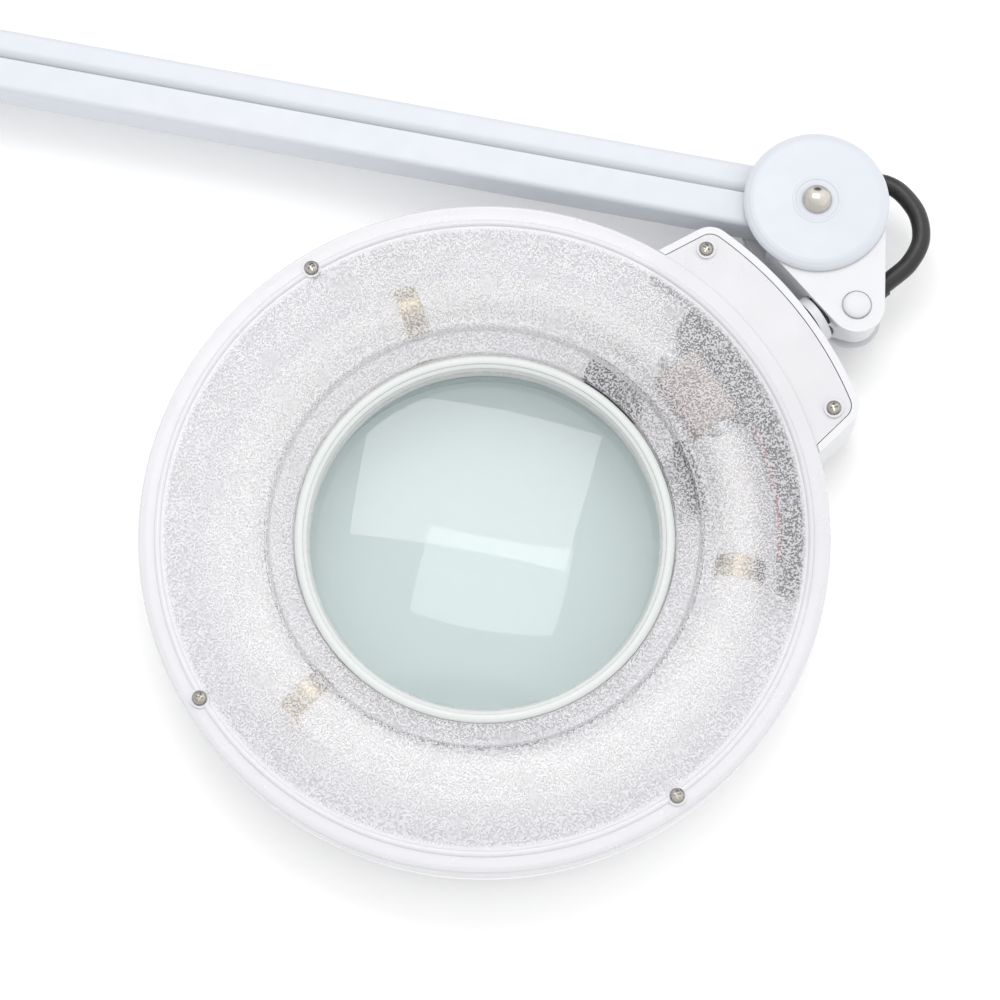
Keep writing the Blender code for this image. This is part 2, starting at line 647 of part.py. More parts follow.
def reflector(lamp, white):
    profile = [(0.0690, 0.0040), (0.0972, 0.0040), (0.0985, 0.0080), (0.0973, 0.0080), (0.0962, 0.0052),
               (0.0690, 0.0052)]
    lamp.add("reflector", moved(turned(profile, LENS_SIDES), at(HEAD)), "head", white)


def circular_tube(lamp, glass):
    """The ring of glass tube with the moulded base that closes it."""
    sides = 8
    section = arc(Vector((TUBE_RING_RADIUS, TUBE_Z)), TUBE_RADIUS, 0.0, 2.0 * math.pi * (1 - 1 / sides), sides - 1)
    ring = turned([(p.x, p.y) for p in section], LENS_SIDES)
    obj = lamp.add("circular_tube", moved(ring, at(TUBE_CENTRE)), "head", glass)
    block = box(TUBE_RING_RADIUS - 0.0092, TUBE_RING_RADIUS + 0.0092, -0.014, 0.014, 0.0088, 0.0272)
    lamp.unite(obj, moved(block, at(TUBE_CENTRE, SOCKET_ANGLE)), "head")


def tube_clips(lamp, brass):
    """Spring clips that wrap the tube, each on a foot."""
    centre = Vector((TUBE_RING_RADIUS, TUBE_Z))
    low, high = math.radians(-80.0), math.radians(200.0)
    outer = arc(centre, TUBE_RADIUS + 0.0013, low, high, 8)
    inner = arc(centre, TUBE_RADIUS + GAP, high, math.radians(-98.0), 14)
    foot = [Vector((centre.x - 0.0015, 0.0055)), Vector((centre.x + 0.0025, 0.0055))]
    outline = outer + inner + foot
    stand = Matrix.Rotation(math.pi / 2, 4, "X")
    for i, angle in enumerate(CLIP_ANGLES, 1):
        mesh = moved(plate(outline, -0.004, 0.004), at(TUBE_CENTRE, angle) @ stand)
        lamp.add(f"tube_clip_{i}", mesh, "head", brass)


def ballast(lamp, dark):
    """The ballast, a curved box along the side wall beside the ear."""
    start, end = math.radians(2.0), math.radians(60.0)
    outline = arc(HEAD, 0.1098, start, end, 8) + arc(HEAD, 0.1024, end, start, 8)
    lamp.add("ballast", plate(outline, 0.0085, 0.0270), "head", dark)


def switch(lamp, black):
    frame = at(switch_place(), SWITCH_ANGLE)
    under = EAR_FLOOR - GAP
    body = lamp.add("switch_body", moved(box(-0.0090, 0.0090, -0.0064, 0.0064, under - 0.0012, 0.0265), frame),
                    "head", black)
    lamp.unite(body, moved(box(-0.0102, 0.0102, -0.0076, 0.0076, under - 0.0016, under), frame), "head")
    lamp.cut(body, moved(box(-0.0076, 0.0076, -0.0050, 0.0050, 0.0, 0.0150), frame), "head")
    crest = [(-0.0070, 0.0132), (-0.0066, 0.0068), (0.0, 0.0084), (0.0068, 0.0092), (0.0070, 0.0132)]
    stand = Matrix.Rotation(math.pi / 2, 4, "X")
    lamp.add("switch_rocker", moved(plate(crest, -0.0046, 0.0046), frame @ stand), "switch_rocker", black)


def head_stem(lamp, white, steel, nylon):
    """The stem that the head turns on, with the eye for the tilt pin, its washer, nut and pin."""
    eye = hull(polar(HEAD, 0.1450, STEM_ANGLE), 0.0055, TILT, 0.0085, 5)
    obj = lamp.add("head_stem", plate(eye, MID - 0.0057, MID + 0.0057), "head_stem", white)
    shaft = rod(on_stem(0.1272), on_stem(0.1450), 0.005)
    lamp.unite(obj, shaft, "head_stem")
    lamp.unite(obj, rod(on_stem(0.1392), on_stem(0.1424), 0.0086, 20), "head_stem")
    lamp.cut(obj, moved(disc(0.003 + BORE, 0.0, 2 * MID, BORE_SIDES), at(TILT)), "head_stem")
    washer = rod(on_stem(0.1378), on_stem(0.1389), 0.0078, 16)
    obj = lamp.add("swivel_washer", washer, "head_stem", nylon)
    lamp.cut(obj, rod(on_stem(0.1370), on_stem(0.1400), 0.005 + BORE), "head_stem")
    nut = lamp.add("stem_nut", rod(on_stem(0.1290), on_stem(0.1346), 0.0085, 6), "head_stem", steel)
    lamp.cut(nut, rod(on_stem(0.1280), on_stem(0.1360), 0.005 + BORE), "head_stem")

    top = MID + KNUCKLE_HALF + GAP
    low = MID - KNUCKLE_HALF - GAP
    profile = [(0.0, low - 0.0014), (0.0040, low - 0.0010), (0.0048, low), (0.003, low), (0.003, top),
               (0.0048, top), (0.0040, top + 0.0010), (0.0, top + 0.0014)]
    lamp.add("tilt_pin", moved(turned(profile, 12, closed=False), at(TILT)), "head_bracket", steel)


# ================================================================ leads

def smooth_route(points, spacing):
    """Points at an even spacing on a Catmull-Rom curve through the route's own points."""
    dense = []
    padded = [points[0] * 2 - points[1]] + points + [points[-1] * 2 - points[-2]]
    for a, b, c, d in zip(padded, padded[1:], padded[2:], padded[3:]):
        for i in range(24):
            t = i / 24
            dense.append(0.5 * (2 * b + (c - a) * t + (2 * a - 5 * b + 4 * c - d) * t * t
                                + (3 * b - a - 3 * c + d) * t**3))
    dense.append(points[-1])
    length = sum((q - p).length for p, q in zip(dense, dense[1:]))
    count = max(2, round(length / spacing))
    even = [dense[0]]
    walked, target = 0.0, length / count
    for p, q in zip(dense, dense[1:]):
        step = (q - p).length
        while walked + step >= target - 1e-9 and len(even) < count:
            even.append(p.lerp(q, (target - walked) / step))
            target += length / count
        walked += step
    return even + [dense[-1]]


def bent_lead(lamp, name, route, body, rubber):
    """A round lead: a curve with a round bevel and closed ends."""
    data = bpy.data.curves.new(name, "CURVE")
    data.dimensions = "3D"
    data.bevel_depth = LEAD_RADIUS
    data.bevel_resolution = 2
    data.use_fill_caps = True
    points = smooth_route([Vector(p) for p in route], LEAD_STEP)
    spline = data.splines.new("POLY")
    spline.points.add(len(points) - 1)
    for point, place in zip(spline.points, points):
        point.co = (*place, 1.0)
    data.materials.append(rubber)
    obj = bpy.data.objects.new(name, data)
    obj.parent = lamp.pivots[body]
    obj.location = -lamp.places[body]
    bpy.context.scene.collection.objects.link(obj)
    return points


def lead_clip(lamp, name, end, inward, body, rubber):
    """A sleeve round one end of a lead, on a foot that stands on the knuckle's lower cheek."""
    along = (inward - end).normalized()
    heading = math.atan2(along.y, along.x)
    sleeve = rod(end, end + CLIP_LENGTH * along, CLIP_RADIUS)
    floor = MID - KNUCKLE_HALF + SHEET + GAP
    foot = box(GAP, CLIP_LENGTH - GAP, -CLIP_FOOT, CLIP_FOOT, floor, MID - 0.9 * LEAD_RADIUS)
    obj = lamp.add(name, sleeve, body, rubber)
    lamp.unite(obj, moved(foot, at(end, heading)), body)
    bore = rod(end - CLIP_LENGTH * along, end + 2 * CLIP_LENGTH * along, LEAD_RADIUS + GAP)
    lamp.cut(obj, bore, body)


def head_lead(lamp, rubber):
    """The lead's open loop from the wrist to the head, held at both ends."""
    points = bent_lead(lamp, "head_lead", HEAD_LEAD_ROUTE, "head_bracket", rubber)
    lead_clip(lamp, "lead_clip_arm", points[0], points[1], "head_bracket", rubber)
    lead_clip(lamp, "lead_clip_head", points[-1], points[-2], "head_bracket", rubber)


def main():
    clear_scene()
    lamp = Lamp()
    white = paint("white_paint", (0.86, 0.87, 0.90), 0.35)
    cool = paint("arm_paint", (0.80, 0.84, 0.90), 0.32)
    steel = paint("zinc_steel", (0.62, 0.62, 0.62), 0.35, 1.0)
    nickel = paint("nickel", (0.72, 0.68, 0.60), 0.18, 1.0)
    brass = paint("clip_brass", (0.78, 0.66, 0.42), 0.35, 1.0)
    black = paint("black_plastic", (0.03, 0.03, 0.03), 0.45)
    dark = paint("ballast_case", (0.12, 0.12, 0.13), 0.6)
    frosted = paint("frosted_plastic", (0.80, 0.80, 0.84), 0.5)
    glass = paint("lens_glass", (0.75, 0.88, 0.84), 0.02)
    tube_glass = paint("tube_glass", (0.95, 0.94, 0.90), 0.25)
    nylon = paint("nylon", (0.85, 0.85, 0.82), 0.5)

    lamp.pivot("root", None, BASE)
    lamp.pivot("clamp_pad", "root", BASE)
    lamp.pivot("clamp_screw", "clamp_pad", BASE)
    lamp.pivot("base_bracket", "root", BASE)
    base_outer, base_inner = pin_places(BASE, LOWER_PINS)
    lower_outer, lower_inner = pin_places(LOWER_ELBOW, LOWER_PINS)
    upper_outer, upper_inner = pin_places(ELBOW, UPPER_PINS)
    wrist_outer, _ = pin_places(WRIST, UPPER_PINS)
    lamp.pivot("lower_outer", "base_bracket", base_outer)
    lamp.pivot("lower_inner", "base_bracket", base_inner)
    lamp.pivot("elbow_bracket", "lower_outer", lower_outer)
    lamp.pivot("upper_outer", "elbow_bracket", upper_outer)
    lamp.pivot("upper_inner", "elbow_bracket", upper_inner)
    lamp.pivot("head_bracket", "upper_outer", wrist_outer)
    lamp.pivot("head_stem", "head_bracket", TILT)
    lamp.pivot("head", "head_stem", HEAD)
    lamp.pivot("switch_rocker", "head", switch_place(), ROCKER_AXIS_Z)

    clamp(lamp, white, steel, black)
    base_bracket(lamp, white, steel)
    elbow_bracket(lamp, white)
    head_bracket(lamp, white)
    arm_section(lamp, "upper", (upper_outer, upper_inner), 0.0, -1.0, cool, steel, black)
    lower = arm_section(lamp, "lower", (lower_outer, lower_inner), SHOULDER_ANGLE, 1.0, cool, steel, black)
    lead_grommet(lamp, lower, at(lower_outer, SHOULDER_ANGLE), black)
    joint_hardware(lamp, "wrist", WRIST, UPPER_PINS, "head_bracket", "head_bracket", nickel, cool)
    joint_hardware(lamp, "elbow_upper", ELBOW, UPPER_PINS, "elbow_bracket", "elbow_bracket", nickel, cool)
    joint_hardware(lamp, "elbow_lower", LOWER_ELBOW, LOWER_PINS, "elbow_bracket", "elbow_bracket", nickel, cool)
    joint_hardware(lamp, "base", BASE, LOWER_PINS, "base_bracket", "base_bracket", nickel, cool)

    head_stem(lamp, white, steel, nylon)
    head_housing(lamp, white)
    diffuser(lamp, frosted)
    diffuser_screws(lamp, nickel)
    lens(lamp, glass)
    lens_ring(lamp, white)
    reflector(lamp, white)
    circular_tube(lamp, tube_glass)
    tube_clips(lamp, brass)
    ballast(lamp, dark)
    switch(lamp, black)
    head_lead(lamp, black)


main()
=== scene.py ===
"""The looks of a folded magnifying lamp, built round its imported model.

The lamp lies on its side: the arms fold in the plane of the floor, so every arm pivot is vertical. Each
fine piece stands where the plain solid that it replaces stands, so its place is read from the frame.
"""

from math import acos, asin, atan2, copysign, cos, pi, radians, sin, sqrt, tan

import bmesh
import bpy
from mathutils import Euler, Matrix, Vector


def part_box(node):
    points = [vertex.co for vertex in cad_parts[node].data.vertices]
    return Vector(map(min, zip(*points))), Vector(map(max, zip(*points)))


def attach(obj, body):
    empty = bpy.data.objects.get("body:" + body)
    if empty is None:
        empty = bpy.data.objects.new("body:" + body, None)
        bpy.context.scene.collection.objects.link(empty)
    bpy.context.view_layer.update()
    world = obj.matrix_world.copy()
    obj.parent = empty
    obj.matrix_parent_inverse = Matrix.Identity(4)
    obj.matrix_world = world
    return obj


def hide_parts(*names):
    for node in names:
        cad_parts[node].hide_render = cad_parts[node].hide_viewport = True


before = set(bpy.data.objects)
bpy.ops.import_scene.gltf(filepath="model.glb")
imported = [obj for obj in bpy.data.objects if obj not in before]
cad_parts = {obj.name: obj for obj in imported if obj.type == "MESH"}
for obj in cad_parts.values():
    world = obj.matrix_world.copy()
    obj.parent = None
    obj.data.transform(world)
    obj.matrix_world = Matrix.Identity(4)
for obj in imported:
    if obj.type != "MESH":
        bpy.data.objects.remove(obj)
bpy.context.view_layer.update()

# -------- camera and light
VIEW_TILT = radians(16.0)  # from straight down
VIEW_TURN = radians(11.0)
VIEW_DISTANCE = 1.25
VIEW_LENS = 131.2
VIEW_TARGET = (-0.0884, -0.1285, 0.034)  # from the head joint of the arm, and above the floor
SKY = 0.90
SKY_SIDE = (0.30, 0.62, 0.73)  # the way to the brighter side of the sky
SKY_GAIN = 0.42
DARK_SIDE = (-0.10, 0.92, 0.38)  # the way to a dark patch, which metal reflects
DARK_SHARE = 0.86
WINDOW_POWER = 4.6  # a softbox that the lens reflects
WINDOW_SIZE = (0.90, 0.62)
WINDOW_PLACE = Vector((-0.18, 0.66, 1.50))
WINDOW_TURN = radians(-16.0)
SKY_COSINES = (0.1, 1.0)  # of the bright side's edge and middle
DARK_COSINES = (0.93, 0.985)
FLOOR_HALF = 4.0
FLOOR_COLOUR = (0.95, 0.95, 0.95)
FLOOR_GLOW = 0.05

# -------- sizes
GAP = 0.0003  # between two pieces that lie against each other
BORE = GAP  # between a bore and its pin
PIN_RADIUS = 0.002
BOLT_RADIUS = 0.0025
TILT_RADIUS = 0.003
STEM_RADIUS = 0.005
SPIGOT_RADIUS = 0.006
SHEET = 0.002  # bracket sheet
CHANNEL_SHEET = 0.0012
CHEEK_RADIUS = 0.0245
KNUCKLE_HALF = 0.010  # half the width of a joint bracket
DISC_RADIUS = 0.0256
DISC_THICK = 0.0032
OUTER_HALF = 0.0077  # half the height of the outer link
INNER_HALF = 0.0055
WEB = 0.006  # from a link's pivots to the back of its channel
OUTER_FLANGE = 0.006  # from the pivots to the edges of its flanges
INNER_FLANGE = 0.012
BEND = 0.002
EYE = 0.0055  # round end of a link
OUTER_NOTCH = (0.0135, 0.0020)
INNER_NOTCH = (0.0225, 0.0016)
RIM_TOP = 0.034
COVER_TOP = 0.036
EAR_TOP = 0.035
EAR_FLOOR = 0.010
EAR_RADIUS = 0.1375
EAR_SIDE = 0.0607
EAR_TAPER = radians(8.0)
EAR_CORNER = 0.008
SHELL = 0.0022
LENS_RADIUS = 0.0635
LENS_CURVE = 0.346
LENS_EDGE = 0.003
LENS_SEAT = 0.0023
TUBE_RING = 0.086
TUBE_RADIUS = 0.008
SCREW_BORE = 0.0017
LEAD_RADIUS = 0.00325
RIM_SIDES = 160
ROUND_SIDES = 96
CREASE = 38.0  # degrees, the least angle of a sharp edge

# arm sections, along each one from its first pivot
LINK_OVERRUN = 0.0075  # from the end pivots to the ends of a channel before they are rounded
ROLL_LINE = 0.006  # from the pivots to the line where the flanges are lowest
ROLL_WIDTHS = (0.0012, 0.0050)  # of the rolled band, at its two ends
ROLL_DROP = 0.0040
SPRING_WIRE = 0.00078
SPRING_PITCH = 0.0016
SPRING_MEAN = 0.0029  # radius of its coils
SPRING_SPAN = (0.056, 0.184)
SPRING_SIDE = 0.0035  # from the line of the pivots
HOOK_STARTS = (0.030, 0.188)
HOOK_STEP = 0.002
GROMMET_X = 0.360
GROMMET_BORE = 0.0046

# clamp, from the base's joint along the lower section's line
JAW_TOP, JAW_BOTTOM, JAW_THICK, JAW_REACH = 0.050, 0.118, 0.007, -0.058
JAW_BACKS = (-0.006, -0.013)  # the outer and inner face of its back
CLAMP_SCREW_Y = -0.040
CLAMP_SCREW_RADIUS = 0.005
THREAD_PITCH, THREAD_DEPTH = 0.002, 0.0008
HANDLE_X, HANDLE_HALF, HANDLE_RADIUS = 0.151, 0.023, 0.0028
BALL_REACH, BALL_RADIUS = 0.0222, 0.0036
PAD_X, PAD_THICK = 0.080, 0.005

# stem, as distances from the lens's axis
STEM_SPAN = (0.1272, 0.1450)
COLLAR_SPAN, COLLAR_RADIUS = (0.1392, 0.1424), 0.0086
WASHER_SPAN = (0.1378, 0.1389)
# painted shade: span and radii of a thin black ring that draws the dark gap beside the collar
SHADOW_RING_SPAN, SHADOW_RING_RADII = (0.1426, 0.1437), (0.0080, 0.0075)
NUT_SPAN, NUT_RADIUS = (0.1290, 0.1346), 0.0085
STEM_HOLE_SPAN = (0.1300, 0.1420)

# what lies under the cover, round the lens's axis: radii, angles in degrees, and heights
BALLAST_RADII, BALLAST_ANGLES, BALLAST_HEIGHTS = (0.1024, 0.1098), (2.0, 60.0), (0.0085, 0.0270)
SOCKET_BRACKETS = (
    ("left", (0.0694, 0.0750), (53.0, 71.0), 0.0275),
    ("right", (0.0735, 0.0772), (21.0, 38.0), 0.0290),
)
BRACKET_FOOT = 0.0054

# the lead to the head, from the wrist's bolt, and its two clips
HEAD_LEAD_ROUTE = (
    (0.0168, 0.0152), (0.0232, 0.0156), (0.0296, 0.0130), (0.0362, 0.0062),
    (0.0388, -0.0030), (0.0362, -0.0122), (0.0310, -0.0192), (0.0260, -0.0248),
)
CLIP_RADIUS = 0.0041
CLIP_LENGTH = 0.0036
CLIP_FOOT = 0.0020
CLIP_LUG = 0.0044

# -------- finishes
UNIT = (0.0, 1.0)
TINT_SPAN = (0.35, 0.65)  # of a noise, over which a colour changes
GLOSS_SPAN = (0.3, 0.7)
GROOVE_SCALE = 1600.0  # of the noise that draws the cover's grooves
GROOVE_EDGE = (0.43, 0.57)
GROOVED_RADIUS = (0.1085, 0.1102)  # where the grooves fade out, from the lens's axis
CLEAR_SHARE = (0.2, 0.42)  # how clear the cover is at its rim and inside it
GROOVE_SHARE = 0.48  # how much clearer a groove is
# Each kind of surface: how metallic it is, the noises (scale, detail) of its colour and its gloss, how far
# its roughness goes below and above, the noise of its grain, and the grain's strength and height.
SURFACES = {
    "painted": (0.0, (18.0, 3.0), (160.0, 3.0), (0.05, 0.07), (1300.0, 2.0), (0.12, 0.00005)),
    "plated": (1.0, (400.0, 4.0), (900.0, 4.0), (0.06, 0.10), (2200.0, 3.0), (0.10, 0.00003)),
    "moulded": (0.0, (60.0, 3.0), (500.0, 3.0), (0.06, 0.08), (2600.0, 2.0), (0.25, 0.00006)),
}
# Each finish: its kind of surface, the two colours that it drifts between, and its roughness.
FINISHES = {
    "white_paint": ("painted", (0.74, 0.745, 0.76), (0.72, 0.725, 0.745), 0.38),
    "arm_paint": ("painted", (0.655, 0.68, 0.725), (0.64, 0.67, 0.72), 0.34),
    "zinc_steel": ("plated", (0.60, 0.60, 0.60), (0.50, 0.51, 0.53), 0.34),
    "nickel": ("plated", (0.62, 0.59, 0.54), (0.54, 0.51, 0.47), 0.14),
    "clip_brass": ("plated", (0.76, 0.66, 0.45), (0.66, 0.55, 0.36), 0.34),
    "black_plastic": ("moulded", (0.018, 0.018, 0.02), (0.03, 0.03, 0.032), 0.42),
    "black_rubber": ("moulded", (0.012, 0.012, 0.013), (0.024, 0.023, 0.023), 0.36),
    "ballast_case": ("painted", (0.045, 0.045, 0.05), (0.03, 0.03, 0.034), 0.5),
    "tube_glass": ("painted", (0.95, 0.94, 0.905), (0.93, 0.92, 0.885), 0.2),
    # painted light: a brighter white than the paint outside, for the inside of the head
    "inner_white_painted_light": ("painted", (0.92, 0.92, 0.925), (0.90, 0.90, 0.91), 0.45),
    # painted shade and a painted green reflection: the lens ring's white made greyer and greener
    "ring_white_painted_shade_reflection": ("painted", (0.70, 0.725, 0.715), (0.67, 0.70, 0.69), 0.26),
    # painted shade: nickel made darker for the dark rims and recesses of the screw heads
    "screw_nickel_painted_shade": ("plated", (0.50, 0.47, 0.43), (0.40, 0.375, 0.34), 0.2),
    "nylon": ("moulded", (0.80, 0.79, 0.74), (0.76, 0.75, 0.70), 0.5),
    "socket": ("moulded", (0.72, 0.58, 0.50), (0.66, 0.52, 0.45), 0.5),
    "red_wire": ("moulded", (0.45, 0.05, 0.06), (0.36, 0.04, 0.05), 0.4),
}
# Painted light: the tube and the white inside of the head glow faintly, in place of light that reaches them
# through the cover.
GLOWS = {"tube_glass": ((1.0, 0.98, 0.95), 0.25), "inner_white_painted_light": ((0.97, 0.97, 1.0), 0.13)}


# ======== places, from the frame

def centre(node):
    lowest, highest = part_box(node)
    return (lowest + highest) / 2


def flat(point):
    return Vector((point[0], point[1]))


def heading(a, b):
    """The angle of the way from a to b, seen from above."""
    return atan2(b[1] - a[1], b[0] - a[0])


WRIST = flat(centre("wrist_bolt"))
ELBOW = flat(centre("elbow_upper_bolt"))
LOWER_ELBOW = flat(centre("elbow_lower_bolt"))
BASE = flat(centre("base_bolt"))
TILT = flat(centre("tilt_pin"))
HEAD = flat(centre("lens"))
TUBE_CENTRE = flat(centre("circular_tube"))
MID = centre("wrist_bolt").z
LOW, HIGH = MID - KNUCKLE_HALF, MID + KNUCKLE_HALF  # of a joint bracket
LENS_Z = centre("lens").z
TUBE_Z = centre("circular_tube").z
HEAD_RADIUS = HEAD.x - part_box("diffuser")[0].x
ARM = (WRIST - ELBOW).length
LOWER_ANGLE = heading(LOWER_ELBOW, BASE)
STEM_ANGLE = heading(HEAD, centre("stem_nut"))
SCREWS = [centre(f"diffuser_screw_{i}") for i in range(1, 6)]
EAR_ANGLE = heading(HEAD, (SCREWS[3] + SCREWS[4]) / 2)
SWITCH = flat(centre("switch_body"))
CLIP_ANGLES = [heading(TUBE_CENTRE, centre(f"tube_clip_{i}")) for i in (1, 2, 3)]
SOCKET_ANGLE = radians(45.5)
STAND = Matrix.Rotation(pi / 2, 4, "X")  # stands a plate on its edge


# ======== outlines

def polar(origin, radius, angle):
    return origin + radius * Vector((cos(angle), sin(angle)))


def arc(origin, radius, start, end, steps):
    return [polar(origin, radius, start + (end - start) * i / steps) for i in range(steps + 1)]


def rounded(points, radius, steps=3):
    """A closed outline with its corners rounded, less where its sides are short."""
    outline = []
    points = [Vector(p) for p in points]
    for i, corner in enumerate(points):
        back = points[i - 1] - corner
        on = points[(i + 1) % len(points)] - corner
        turn = back.angle(on)
        if turn > radians(172.0):
            outline.append(corner)
            continue
        reach = min(radius / tan(turn / 2), 0.45 * back.length, 0.45 * on.length)
        start = corner + reach * back.normalized()
        end = corner + reach * on.normalized()
        for k in range(steps + 1):
            t = k / steps
            outline.append((1 - t) ** 2 * start + 2 * t * (1 - t) * corner + t * t * end)
    return outline


def hull(a, radius_a, b, radius_b, steps=24):
    """The outline round two circles and the two lines that touch both."""
    reach = b - a
    way = atan2(reach.y, reach.x)
    lean = acos((radius_a - radius_b) / reach.length)
    far = arc(b, radius_b, way - lean, way + lean, steps)
    near = arc(a, radius_a, way + lean, way + 2.0 * pi - lean, 2 * steps)
    return far + near


# ======== meshes

def bridge(mesh, lower, upper):
    """The faces between two rings of points. Either ring may be a single point."""
    count = max(len(lower), len(upper))
    for i in range(count):
        j = (i + 1) % count
        corners = [ring[k % len(ring)] for ring, k in ((lower, i), (lower, j), (upper, j), (upper, i))]
        corners = list(dict.fromkeys(corners))
        if len(corners) > 2:
            mesh.faces.new(corners)


def closed_tube(mesh, rings):
    """Joins a row of rings and closes its two ends."""
    for lower, upper in zip(rings, rings[1:]):
        bridge(mesh, lower, upper)
    mesh.faces.new(rings[0])
    mesh.faces.new(rings[-1])
    bmesh.ops.recalc_face_normals(mesh, faces=mesh.faces)
    return mesh


def turned(profile, segments=ROUND_SIDES):
    """A profile of (radius, height) points revolved about Z, closed or from axis to axis."""
    mesh = bmesh.new()
    rings = []
    for radius, height in profile:
        if radius < 1e-9:
            rings.append([mesh.verts.new((0.0, 0.0, height))])
            continue
        turns = [2.0 * pi * i / segments for i in range(segments)]
        rings.append([mesh.verts.new((radius * cos(t), radius * sin(t), height)) for t in turns])
    for lower, upper in zip(rings, rings[1:] + rings[:1]):
        bridge(mesh, lower, upper)
    bmesh.ops.recalc_face_normals(mesh, faces=mesh.faces)
    return mesh


def plate(outline, bottom, top):
    mesh = bmesh.new()
    lower = [mesh.verts.new((p[0], p[1], bottom)) for p in outline]
    upper = [mesh.verts.new((p[0], p[1], top)) for p in outline]
    mesh.faces.new(lower)
    mesh.faces.new(upper)
    bridge(mesh, lower, upper)
    bmesh.ops.recalc_face_normals(mesh, faces=mesh.faces)
    return mesh


def box(x0, x1, y0, y1, z0, z1):
    return plate([(x0, y0), (x1, y0), (x1, y1), (x0, y1)], z0, z1)


def disc(radius, bottom, top, segments=40):
    last = 2.0 * pi * (1 - 1 / segments)
    return plate(arc(Vector((0.0, 0.0)), radius, 0.0, last, segments - 1), bottom, top)


def rod(start, end, radius, segments=40):
    start, end = Vector(start), Vector(end)
    turn = (end - start).to_track_quat("Z", "Y").to_matrix().to_4x4()
    return moved(disc(radius, 0.0, (end - start).length, segments), Matrix.Translation(start) @ turn)


def sweep(path, radius, sides=12):
    """A round tube with closed ends along points that lie close together."""
    mesh = bmesh.new()
    path = [Vector(p) for p in path]
    turns = [2.0 * pi * k / sides for k in range(sides)]
    rings = []
    side = None
    for i, point in enumerate(path):
        along = (path[min(i + 1, len(path) - 1)] - path[max(i - 1, 0)]).normalized()
        side = along.orthogonal() if side is None else side - side.dot(along) * along
        side.normalize()
        other = along.cross(side)
        circle = [point + radius * (cos(t) * side + sin(t) * other) for t in turns]
        rings.append([mesh.verts.new(p) for p in circle])
    return closed_tube(mesh, rings)


def moved(mesh, matrix):
    bmesh.ops.transform(mesh, matrix=matrix, verts=mesh.verts)
    return mesh


def at(point, angle=0.0, z=0.0):
    """The matrix of a local frame whose X axis points at an angle in the plane."""
    return Matrix.Translation((point[0], point[1], z)) @ Matrix.Rotation(angle, 4, "Z")


def through(radius, place):
    """What cuts an upright bore for a pin of a radius."""
    return moved(disc(radius + BORE, 0.0, 2 * MID), at(place))


def joined(*meshes):
    whole = bmesh.new()
    for mesh in meshes:
        loose = bpy.data.meshes.new("loose")
        mesh.to_mesh(loose)
        mesh.free()
        whole.from_mesh(loose)
        bpy.data.meshes.remove(loose)
    return whole


def smooth_route(points, spacing):
    """Points at an even spacing on a Catmull-Rom curve through the route's own points."""
    dense = []
    points = [Vector(p) for p in points]
    padded = [points[0] * 2 - points[1]] + points + [points[-1] * 2 - points[-2]]
    for a, b, c, d in zip(padded, padded[1:], padded[2:], padded[3:]):
        for i in range(24):
            t = i / 24
            dense.append(0.5 * (2 * b + (c - a) * t + (2 * a - 5 * b + 4 * c - d) * t * t
                                + (3 * b - a - 3 * c + d) * t**3))
    dense.append(points[-1])
    length = sum((q - p).length for p, q in zip(dense, dense[1:]))
    count = max(2, round(length / spacing))
    even = [dense[0]]
    walked, target = 0.0, length / count
    for p, q in zip(dense, dense[1:]):
        step = (q - p).length
        while walked + step >= target - 1e-9 and len(even) < count:
            even.append(p.lerp(q, (target - walked) / step))
            target += length / count
        walked += step
    return even + [dense[-1]]


# ======== pieces

def add_object(name, mesh):
    """A new object in the scene, from a mesh that is used up."""
    data = bpy.data.meshes.new(name)
    mesh.to_mesh(data)
    mesh.free()
    obj = bpy.data.objects.new(name, data)
    bpy.context.scene.collection.objects.link(obj)
    return obj


def piece(name, mesh, body, finish, stands_for=(), sharp=CREASE, bevel=0.0):
    """A mesh that rides on a body, takes a finish, and stands for plain solids."""
    obj = add_object(name, mesh)
    obj.data.materials.append(MATERIALS[finish])
    obj.data.shade_smooth()
    obj.data.set_sharp_from_angle(angle=radians(sharp))
    if bevel:
        rounding = obj.modifiers.new("rounding", "BEVEL")
        rounding.width = bevel
        rounding.segments = 3
        rounding.limit_method = "ANGLE"
        rounding.angle_limit = radians(CREASE)
        rounding.harden_normals = True
    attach(obj, body)
    if stands_for:
        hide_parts(*stands_for)
    return obj


def combined(mesh, tool, operation):
    """The Boolean of two closed meshes, as a mesh."""
    objects = [add_object("operand", part) for part in (mesh, tool)]
    modifier = objects[0].modifiers.new("boolean", "BOOLEAN")
    modifier.operation = operation
    modifier.object = objects[1]
    graph = bpy.context.evaluated_depsgraph_get()
    result = bmesh.new()
    result.from_mesh(objects[0].evaluated_get(graph).to_mesh())
    for obj in objects:
        data = obj.data
        bpy.data.objects.remove(obj)
        bpy.data.meshes.remove(data)
    return result


def united(mesh, tool):
    return combined(mesh, tool, "UNION")


def cut(mesh, tool):
    return combined(mesh, tool, "DIFFERENCE")


# ======== materials

def new_material(name, colour, roughness, metallic=0.0, **sockets):
    """A Principled material. Extra sockets are named with _ for a space."""
    made = bpy.data.materials.new(name)
    made.use_nodes = True
    shader = made.node_tree.nodes["Principled BSDF"]
    shader.inputs["Base Color"].default_value = (*colour, 1.0)
    shader.inputs["Roughness"].default_value = roughness
    shader.inputs["Metallic"].default_value = metallic
    for socket, value in sockets.items():
        shader.inputs[socket.replace("_", " ")].default_value = value
    return made


def arithmetic(tree, operation, *terms):
    """The result of a sum or product whose terms are numbers or other nodes' values."""
    step = tree.nodes.new("ShaderNodeMath")
    step.operation = operation
    for socket, term in zip(step.inputs, terms):
        if isinstance(term, float):
            socket.default_value = term
        else:
            tree.links.new(term, socket)
    return step.outputs[0]


